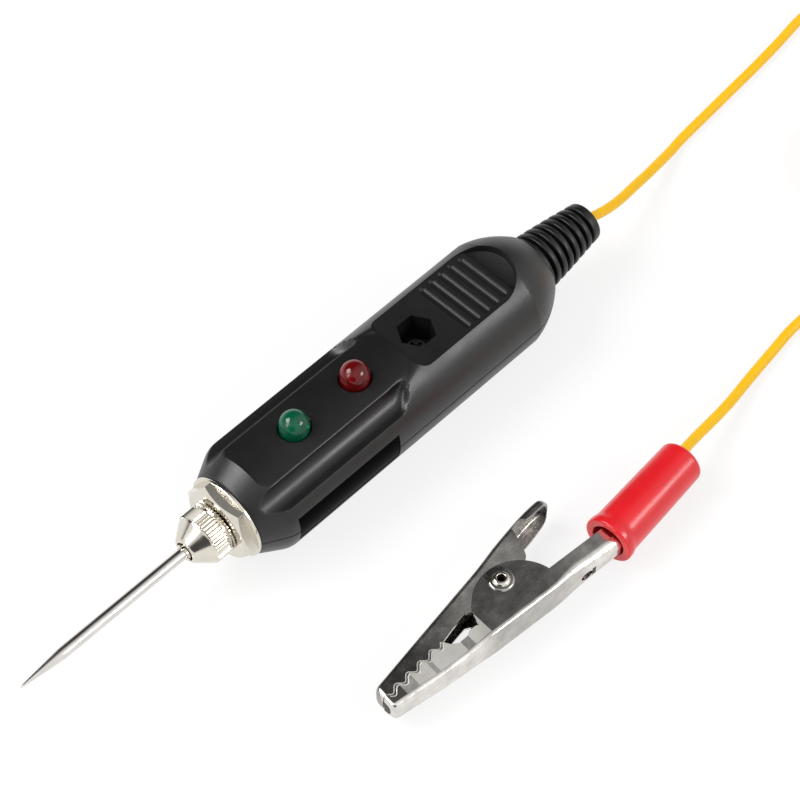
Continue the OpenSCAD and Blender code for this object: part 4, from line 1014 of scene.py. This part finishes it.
class TESTER_OT_lamps(bpy.types.Operator):
    """Build the green and the red lamp with their inner cups"""

    bl_idname = "tester.lamps"
    bl_label = "Lamps"

    def execute(self, context):
        s = sizes("lamps")
        for colour, x in (("green", s.green_at), ("red", s.red_at)):
            at = AXIS_AT @ shifted(x, 0, sizes("housing").top_flat + s.rise) @ turned(-QUARTER, "Y")
            finish_piece(self.lens(s), colour + "_lens", colour + " lamp", [colour + "_lamp"],
                         matrix=at, smooth=50, weigh=False)
            finish_piece(self.cup(s), colour + "_lamp_cup", "Lamp cup", matrix=at, smooth=40)
        return {"FINISHED"}

    def lens(self, s):
        """A dome on a straight body with a flange at its foot. X points up."""
        r, foot, flange = s.radius, -s.length, s.radius + 0.4
        dome = [(r * cos(a), r * sin(a)) for a in [QUARTER * k / 20 for k in range(21)]]
        body = [dome[-1], (foot + 1, r), (foot + 1, flange), (foot, flange), (foot, 0)]
        return spun(dome[:-1] + rounded(body, {2: 0.15, 3: 0.15}), 64)

    def cup(self, s):
        """The lead frame's post with its small cup, and the thinner post beside it, down to the board."""
        profile = [(-2.0, 0.0), (-1.0, 0.42), (-0.55, 0.62), (-0.55, 0.48), (-0.95, 0.2), (-0.95, 0)]
        posts = [tube([(-s.length - 7.4, 0, y), (top, 0, y)], 0.27)
                 for y, top in ((1.27, -1.0), (-1.27, -1.4))]
        arm = tube([(-1.25, 0, 1.3), (-1.4, 0, 0.0)], 0.22, 10)
        return joined(spun(rounded(profile, {2: 0.05, 3: 0.05}), 32), *posts, arm)


# Depth of the knurl's valleys, and how far the ends of its bands draw in
KNURL_DEPTH = 0.4
KNURL_TAPER = 0.955


class TESTER_OT_chuck(bpy.types.Operator):
    """Build the washer, the hex nut and the knurled chuck nut"""

    bl_idname = "tester.chuck"
    bl_label = "Chuck"

    def execute(self, context):
        s = sizes("chuck")
        t, r = s.washer_thickness, s.washer_radius
        washer = spun(rounded([(-t, 3.05), (-t, r), (0, r), (0, 3.05)], {1: 0.2, 2: 0.2}), 96, True)
        finish_piece(washer, "front_washer", "Nickel plate", ["washer"])
        finish_piece(self.hex_nut(s), "front_nut", "Nickel plate", ["hex_nut"], smooth=30)
        finish_piece(self.chuck_nut(s), "knurled_nut", "Nickel plate", ["chuck_nut"], "chuck_nut",
                     smooth=30)
        return {"FINISHED"}

    def hex_nut(self, s):
        rear, face = -s.washer_thickness, -s.washer_thickness - s.nut_thickness
        flat, corner = s.nut_flats / 2, s.nut_flats / sqrt(3)
        at = turned(s.nut_turn, "X") @ shifted(face + s.nut_thickness / 2, 0, 0) @ turned(QUARTER, "Y")
        bm = bmesh.new()
        bmesh.ops.create_cone(bm, cap_ends=True, segments=6, radius1=corner, radius2=corner,
                              depth=s.nut_thickness, matrix=at)
        nut = as_object(bm)
        chamfer = [
            (face, 0), (face, flat - 0.3), (face + 0.9, corner + 0.1), (rear, corner + 0.1), (rear, 0)]
        combine(nut, "INTERSECT", spun(chamfer, 96))
        cut(nut, spun([
            (face - 1, 0), (face - 1, 3.45), (face, 3.45), (face + 0.4, 3.05), (1, 3.05), (1, 0)]))
        soften(nut, 0.12, 3, 30)
        return nut

    def chuck_nut(self, s):
        """Two knurled bands with a groove between them, and a smooth cone in front."""
        start = -s.washer_thickness - s.nut_thickness - 0.1
        rear, groove, front, tip = start - 0.5, start - 0.9, start - 3.8, start - 6.7
        cone = [(tip, 1.95), (tip, 2.1), (tip + 0.2, 2.4), (front - 0.25, 4.3), (front, 4.42)]
        body = [(tip, 0)] + rounded(cone, {1: 0.1, 2: 0.15, 3: 0.3})
        body += [(front + 0.3, 4.2), (groove, 4.1), (rear + 0.2, 4.1), (start - 0.2, 4.0), (start - 0.2, 0)]
        part = as_object(spun(body, 96))
        combine(part, "UNION", self.band(s, rear, start), self.band(s, front, groove))
        cut(part, spun([
            (tip - 1, 0), (tip - 1, 1.75), (tip + 0.3, 1.75), (tip + 3.3, 3.1), (1, 3.1), (1, 0)]))
        soften(part, 0.04, 2, 24)
        return part

    def band(self, s, low, high):
        """A band of straight knurl teeth with bevelled ends."""
        bm = bmesh.new()
        ring = bmesh.ops.create_circle(bm, cap_ends=True, segments=2 * s.knurl_teeth, radius=s.knurl_radius,
                                       matrix=turned(QUARTER, "Y"))["verts"]
        for v in sorted(ring, key=lambda v: atan2(v.co.z, v.co.y))[1::2]:
            v.co *= 1 - KNURL_DEPTH / s.knurl_radius
        edge = min(0.25, (high - low) * 0.3)
        bmesh.ops.translate(bm, vec=(low, 0, 0), verts=bm.verts)
        bmesh.ops.scale(bm, vec=(1, KNURL_TAPER, KNURL_TAPER), verts=bm.verts)
        for step, grow in ((edge, 1 / KNURL_TAPER), (high - low - 2 * edge, 1.0), (edge, KNURL_TAPER)):
            top = max(bm.faces, key=lambda f: f.calc_center_median().x)
            up = bmesh.ops.extrude_face_region(bm, geom=[top])["geom"]
            if len(bm.faces) > 2 * s.knurl_teeth + 2:
                bmesh.ops.delete(bm, geom=[top], context="FACES_ONLY")
            verts = [v for v in up if isinstance(v, bmesh.types.BMVert)]
            bmesh.ops.translate(bm, vec=(step, 0, 0), verts=verts)
            bmesh.ops.scale(bm, vec=(1, grow, grow), verts=verts)
        bmesh.ops.recalc_face_normals(bm, faces=bm.faces)
        return bm


class TESTER_OT_needle(bpy.types.Operator):
    """Build the probe needle with its ground point"""

    bl_idname = "tester.needle"
    bl_label = "Needle"

    def execute(self, context):
        s = sizes("chuck")
        collet, r, tip_r, tip_l = -9.8, s.needle_radius, 0.16, 0.2
        tip = collet - s.needle_length
        profile = [(tip, 0), (tip + 0.06, 0.1), (tip + tip_l, tip_r)]
        profile += [(tip + tip_l + (s.point_length - tip_l) * k / 12, tip_r + (r - tip_r) * (k / 12) ** 0.92)
                    for k in range(1, 13)]
        profile += [(tip + s.point_length + 0.5, r), (collet, r), (collet + 0.02, 0.95), (collet + 9, 0.95),
                    (collet + 9, 0)]
        finish_piece(spun(profile), "needle", "Ground needle steel", ["probe_needle"],
                     smooth=40, weigh=False)
        return {"FINISHED"}


# Where the lever starts and the lower jaw's base turns up, and how steep the jaws' lines are
LEVER_AT = 8.5
RISE_AT = -16.0
SPINE = tan(radians(10.4))
LEVER = tan(radians(10.3))
BASE_SLOPE = tan(radians(2.1))
RISE = tan(radians(5.8))
# How far the lower jaw's teeth lie below the upper jaw's
TOOTH_GAP = 0.25
# Turns a prism along Z, drawn in Y and Z, into one that runs along the nose from X = -z
NOSE_CUT = Matrix(((0, 0, -1, 0), (1, 0, 0, 0), (0, 1, 0, 0), (0, 0, 0, 1)))


def eased(x, table, reach=1.3):
    """The value at x in a table of (x, value) rows, with its bends rounded."""
    xs, ys = zip(*table)
    return float(np.mean(np.interp(np.linspace(x - reach, x + reach, 9), xs, ys)))


def tooth_line(x, s):
    return -1.85 + 0.072 * (x + 15) + s.tooth_height / 2 * cos(TAU * (x + 16.4) / s.tooth_pitch)


def tooth_stations(s, steps=8):
    x, made = -14.2, []
    while x >= -s.nose_reach:
        made.append(x)
        x -= s.tooth_pitch / steps
    return made


def spine_y(x):
    """Height of the upper jaw's spine and lever above the rivet."""
    return 4.73 + SPINE * min(x, LEVER_AT) + LEVER * max(x - LEVER_AT, 0)


def crest(x):
    """Height of the lever's outside, which curves up a little from the spine's line."""
    share = min(max((x + 3) / 9, 0), 1)
    return spine_y(x) + 0.38 * share * share * (3 - 2 * share) - 0.014 * max(x - 10, 0) ** 2


def base_y(x, s):
    """Height of the lower jaw's base, which is negative."""
    return BASE_SLOPE * (4 - max(x, RISE_AT)) + RISE * max(0, RISE_AT - x) - s.base_drop


def tooth_bead(jaw, s, lift):
    """The burr that the press leaves along both walls' teeth."""
    tree = BVHTree.FromPolygons([v.co for v in jaw.data.vertices],
                                [face.vertices for face in jaw.data.polygons])
    stations = [x for x in tooth_stations(s) if -s.nose_reach + 0.9 < x < -13.7]
    sides = []
    for sign in (-1, 1):
        starts = [Vector((x, tooth_line(x, s) + lift, 9 * sign)) for x in stations]
        hits = [tree.ray_cast(start, Vector((0, 0, -sign)))[0] for start in starts]
        sides.append(tube([hit - Vector((0, 0, 0.04 * sign)) for hit in hits if hit], 0.13, 8))
    return joined(*sides)


def dress(obj, name, node, finishes, body="tester"):
    """Finishes a piece of the clip, with further finishes on the faces that their tests choose."""
    clean(obj)
    chosen = [0] * len(obj.data.polygons)
    others = list(finishes.items())[1:]
    for i, (_, test) in enumerate(others, 1):
        for face in obj.data.polygons:
            if test(face.center, face.normal):
                chosen[face.index] = i
    finish_piece(obj, name, next(iter(finishes)), [node], body, CLIP_AT, smooth=32)
    for finish, _ in others:
        obj.data.materials.append(material(finish))
    obj.data.polygons.foreach_set("material_index", chosen)


def folded_body(stations, section, depth):
    """A closed body with the outer faces of a folded sheet.

    section gives the base's place along Y, half the width, the radius of the folds and the flare
    of the walls at a station, and depth is where the walls end.
    """
    bm = bmesh.new()
    turns = [QUARTER * k / 9 for k in range(10)]
    rows = []
    for x in stations:
        base, half, fold, flare = section(x)
        inward = 1 if depth > base else -1
        fold = min(fold, 0.98 * half)
        ring = [(depth, half + flare * abs(depth - base))]
        ring += [(base + inward * fold * (1 - sin(a)), half - fold * (1 - cos(a))) for a in turns]
        ring += [(y, -z) for y, z in reversed(ring)]
        rows.append([bm.verts.new((x, y, z)) for y, z in ring])
    for a, b in zip(rows, rows[1:]):
        for i in range(len(a)):
            j = (i + 1) % len(a)
            bm.faces.new((a[i], a[j], b[j], b[i]))
    for row in (rows[0], rows[-1]):
        bm.faces.new(row)
    bmesh.ops.recalc_face_normals(bm, faces=bm.faces)
    return bm


def nose_inset(x, start, radius):
    """How far the faces draw in near a nose that is rounded with the radius."""
    left = radius - (x - start)
    return radius - sqrt(max(radius ** 2 - left ** 2, 0)) if left > 0 else 0.0


def nose_stations(start, radius, end, step=0.8):
    """Stations along a jaw, closer together at its round nose."""
    made = [start + radius * (1 - cos(QUARTER * k / 7)) for k in range(8)]
    n = ceil((end - made[-1]) / step)
    return made + [made[-1] + (end - made[-1]) * k / n for k in range(1, n + 1)]


class TESTER_OT_clip(bpy.types.Operator):
    """Fold, cut and round the two toothed jaws of the clip"""

    bl_idname = "tester.clip"
    bl_label = "Clip jaws"

    def execute(self, context):
        s = sizes("clip")

        def inside_lever(at, way):
            return at.x > 8.2 and at.y < crest(at.x) - 0.3 and abs(at.z) < s.width / 2 - s.sheet - 0.45

        def cut_tooth(at, way):
            return at.x < -13.4 and abs(at.y - tooth_line(at.x, s) + 0.12) < 0.5 and abs(way.z) < 0.8

        # Faces inside the tail channel and round its hole, which get a dark finish as painted shade.
        def inside_tail(at, way):
            above = at.y - base_y(at.x, s)
            hole = abs(at.x - 12) < 1.4 and abs(at.z) < 1 and above < 0.6 and abs(way.y) < 0.5
            return hole or (at.x > 8.5 and (at.z * way.z < -0.3 or (way.y > 0.6 and above < 1.2)))

        lower, upper = self.lower(s), self.upper(s)
        beads = (("lower_tooth_edge", tooth_bead(lower, s, -0.42), "tester"),
                 ("upper_tooth_edge", tooth_bead(upper, s, 0.16), "upper_jaw"))
        finishes = {"Upper jaw steel": None, "Cut edge steel": cut_tooth, "Inner steel": inside_lever}
        dress(upper, "upper_jaw", "clip_upper_jaw", finishes, "upper_jaw")
        finishes = {"Lower jaw steel": None, "Cut edge steel": cut_tooth, "Shaded steel": inside_tail}
        dress(lower, "lower_jaw", "clip_lower_jaw", finishes)
        for name, bead, body in beads:
            finish_piece(bead, name, "Cut edge steel", (), body, CLIP_AT)
        return {"FINISHED"}

    def upper(self, s):
        """Outside minus inside, trimmed to the side outline, with a lever like a scoop."""
        half_at = s.width / 2 - s.sheet - 0.15
        tip_r, tip_l = half_at - 0.25, 1.9
        tip_x = s.lever_reach - tip_l
        plan = [(-29.2, 1.88), (-s.nose_reach, 1.95), (-7, half_at), (LEVER_AT, half_at), (tip_x, tip_r),
                (30, tip_r)]

        def form(d):
            start, radius = d - s.nose_reach, 1.1 - d

            def section(x):
                inset = nose_inset(x, start, radius)
                along = min(max(x - tip_x, 0) / (tip_l - d), 0.999)
                round_off = (1 - along ** 2.3) ** 0.45
                half = eased(x, plan) - d - inset if along == 0 else (tip_r - d) * round_off
                base = crest(x) - d / cos(atan(SPINE)) - inset - 0.9 * (1 - round_off)
                flare = eased(x, [(-20, 0.03), (-12, 0.0), (-6, -0.045), (6, -0.045), (9, 0.0)])
                return base, half, s.fold - d, flare

            arc = [tip_x + (tip_l - d) * sin(QUARTER * k / 14) * 0.999 for k in range(1, 15)]
            return folded_body(nose_stations(start, radius, tip_x) + arc, section, -16 - d)

        def under_crest(rows):
            return [(x, crest(x) - drop) for x, drop in rows]

        part = as_object(form(0))
        cut(part, form(s.sheet))
        reach = s.lever_reach
        outline = [(-s.nose_reach - 1, 12), (20, 12), (20, crest(20) - 0.4)]
        outline += under_crest([(reach - 0.05, 1.4), (reach - 0.8, 2.0), (reach - 1.8, 2.35),
                                (reach - 2.8, 2.55), (11.5, 2.8), (9.4, 2.85), (8.5, 2.85)])
        outline += [(7.8, 3.3), (7.4, 3.0), (7, 2.1), (6.4, 0.95), (5.5, 0.2)]
        outline += [(4.1 * cos(radians(a)), 4.1 * sin(radians(a))) for a in range(0, -131, -10)]
        outline += [(-8, -0.3), (-11, -0.85), (-13.6, -1.5)]
        outline += [(x, tooth_line(x, s)) for x in tooth_stations(s)]
        combine(part, "INTERSECT", prism(outline + [(-s.nose_reach - 1, outline[-1][1])], -6, 6))
        near_rim = [(7, 2.1), (7.2, 2.75), (7.4, 3.56), (7.75, 4.7)]
        near_rim += under_crest([(8.1, 0.6), (8.5, 0.45), (9.5, 0.45), (10.4, 0.55), (10.8, 0.95),
                                 (11.1, 1.35), (12, 1.5), (14.4, 1.55), (reach, 1.35), (18.4, 0)])
        cut(part, prism(near_rim + [(18.4, 0), (7, 0)], 0.4, 6), drum(1.15, -6, 6, segments=48))
        soften(part, 0.19, 3, 38)
        return part

    def lower(self, s):
        """Outside minus inside, trimmed to the side outline, with its bosses, holes and crimp."""
        half_at = s.width / 2
        plan = [(-29.2, 2.0), (-s.nose_reach, 2.1), (-11.6, 2.66), (-7.6, half_at), (7, half_at), (16, 2.5),
                (21, 2.1), (25, 1.8)]

        def form(d):
            start, radius = d - s.nose_reach, 0.9 - d

            def section(x):
                inset = nose_inset(x, start, radius)
                base = eased(x, [(k, base_y(k, s)) for k in (-40, RISE_AT, 40)], 2)
                fold = eased(x, [(6, s.fold), (10, s.tail_fold)])
                flare = eased(x, [(-13, 0.10), (-8.5, 0.0), (7, 0.0), (12, 0.03)])
                return base + d + inset, eased(x, plan) - d - inset, fold - d, flare

            return folded_body(nose_stations(start, radius, 21 + 3 * d), section, 14 + d)

        part = as_object(form(0))
        cut(part, form(s.sheet))
        tail_top = 3.4 - s.base_drop
        ear_x, ear_y, ear_r = -0.5, -5.0, 7.7
        low = asin((tail_top - ear_y) / ear_r)
        side = [(-s.nose_reach - 1, -12), (22, -12), (22, tail_top - 1.4), (19.8, tail_top)]
        side += [(ear_x + ear_r * cos(a), ear_y + ear_r * sin(a))
                 for a in [low + (pi - 2 * low) * k / 40 for k in range(41)]]
        side += [(-8.5, -3.2), (-9.7, -3.1), (-10.6, -3.56), (-12.3, -3.55), (-13.4, -2.9)]
        side += [(x, tooth_line(x, s) - TOOTH_GAP) for x in tooth_stations(s)]
        rim = side[-1][1]
        combine(part, "INTERSECT", prism(side + [(-s.nose_reach - 1, rim)], -6, 6))
        foot, face = half_at - 0.2, half_at + 0.3
        boss = rounded([(foot, 0), (foot, 2.25), (face, 2.0), (face, 0)], {1: 0.1, 2: 0.2})
        combine(part, "UNION", *(moved(spun(boss, 48), turned(-sign * QUARTER, "Y")) for sign in (-1, 1)))
        hole_at = shifted(12, -s.base_drop, 0) @ Matrix.Diagonal((1.2, 1, 0.85, 1)) @ turned(QUARTER, "X")
        notch = [(rim + 0.2, -0.75), (rim - 1.3, 0), (rim + 0.2, 0.75)]
        cut(part, drum(1.13, -6, 6, segments=48), moved(drum(1, -1, 1, segments=40), hole_at),
            moved(prism(notch, 26.4, 28.5), NOSE_CUT))
        clean(part, 0.004, fill=False)
        soften(part, 0.19, 3, 38)
        return part


class TESTER_OT_rivet_and_spring(bpy.types.Operator):
    """Build the hollow rivet and the torsion spring round it"""

    bl_idname = "tester.rivet_and_spring"
    bl_label = "Rivet and spring"

    def execute(self, context):
        s = sizes("clip")
        half = s.width / 2 + 0.3
        rim = half + 0.48
        profile = [(-rim, 0.72), (-rim + 0.06, 1.2), (-half, 1.52), (-half, 1.1), (half, 1.1), (half, 1.52),
                   (rim - 0.06, 1.2), (rim, 0.72), (rim - 0.5, 0.6), (-rim + 0.5, 0.6)]
        rivet = spun(rounded(profile, {0: 0.15, 1: 0.3, 2: 0.12, 5: 0.12, 6: 0.3, 7: 0.15}), 48, True)

        # The faces of the rivet's bore get a near black finish as painted shade.
        def bore(at, way):
            return hypot(at.x, at.y) < 0.72 and abs(at.z) < rim - 0.3

        rivet = as_object(moved(rivet, turned(QUARTER, "Y")))
        dress(rivet, "rivet", "clip_rivet", {"Nickel plate": None, "Tarnish": bore})
        wire, pitch, r = s.wire_radius, 1.9 * s.wire_radius, 1.8

        def round_rivet(steps, height):
            return [(r * cos(a), r * sin(a), height(a)) for a in [TAU * k / 24 for k in steps]]

        rest = base_y(8.5, s) + s.sheet + wire + 0.02
        low_z = -2.25 * pitch
        leg = curve_through([(8.5, rest, low_z), (6.2, rest + 0.7, low_z), (2, -2.6, low_z)], 4)[:-1]
        coil = round_rivet(range(-6, 72), lambda a: pitch * a / TAU - 2 * pitch)
        z = pitch + 2 * wire + 0.12
        end_y = spine_y(6.4) - (s.sheet + wire + 0.02) / cos(atan(SPINE))
        turn_back = round_rivet(range(30, 6, -1), lambda a: z)
        arm = [(-0.1 + 6.5 * k / 6, 1.8 + (end_y - 1.8) * k / 6, z) for k in range(1, 7)]
        for name, node, body, path in (("spring", "clip_spring", "tester", leg + coil),
                                       ("spring_end", "clip_spring_arm", "upper_jaw", turn_back + arm)):
            finish_piece(tube(path, wire), name, "Spring wire", [node], body, CLIP_AT,
                         smooth=60, weigh=False)
        return {"FINISHED"}


OWN_SOLIDS = {
    "side_plate": "Side plate black", "circuit_board": "Board laminate",
    "green_resistor": "Resistor lacquer",
    "red_resistor": "Resistor lacquer", "contact_strip": "Brass strip", "inner_lead": "Lead insulation",
    "chuck_body": "Nickel plate", "housing_screw": "Black oxide screw", "clip_wire_end": "Copper strands",
    "probe_needle": "Ground needle steel",
}


class TESTER_OT_inner_parts(bpy.types.Operator):
    """Give the parts that keep their own solids their finishes"""

    bl_idname = "tester.inner_parts"
    bl_label = "Inner parts"

    def execute(self, context):
        for name, finish in OWN_SOLIDS.items():
            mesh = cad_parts[name].data
            mesh.materials.clear()
            mesh.materials.append(material(finish))
        return {"FINISHED"}


class TESTER_PT_panel(bpy.types.Panel):
    """Lists the pieces of the tester and their sizes"""

    bl_idname = "TESTER_PT_panel"
    bl_label = "Circuit Tester"
    bl_space_type = "VIEW_3D"
    bl_region_type = "UI"
    bl_category = "Tester"

    def draw(self, context):
        for operator in OPERATORS:
            self.layout.operator(operator.bl_idname)
        for name in GROUPS:
            box = self.layout.box()
            box.label(text=name.split("_")[1].title())
            group = getattr(context.scene, name)
            for prop in group.bl_rna.properties:
                if prop.identifier not in {"rna_type", "name"}:
                    box.prop(group, prop.identifier)


OPERATORS = (
    TESTER_OT_stage,
    TESTER_OT_lead,
    TESTER_OT_strain_relief,
    TESTER_OT_sleeve,
    TESTER_OT_housing,
    TESTER_OT_lamps,
    TESTER_OT_chuck,
    TESTER_OT_needle,
    TESTER_OT_clip,
    TESTER_OT_rivet_and_spring,
    TESTER_OT_inner_parts,
)
CLASSES = (*GROUPS.values(), *OPERATORS, TESTER_PT_panel)


def register():
    for cls in CLASSES:
        bpy.utils.register_class(cls)
    for name, cls in GROUPS.items():
        setattr(bpy.types.Scene, name, bpy.props.PointerProperty(type=cls))


def unregister():
    for name in GROUPS:
        delattr(bpy.types.Scene, name)
    for cls in reversed(CLASSES):
        bpy.utils.unregister_class(cls)


def main():
    register()
    for operator in OPERATORS:
        group, action = operator.bl_idname.split(".")
        getattr(getattr(bpy.ops, group), action)()
    declare_lead()


if __name__ == "__main__":
    main()
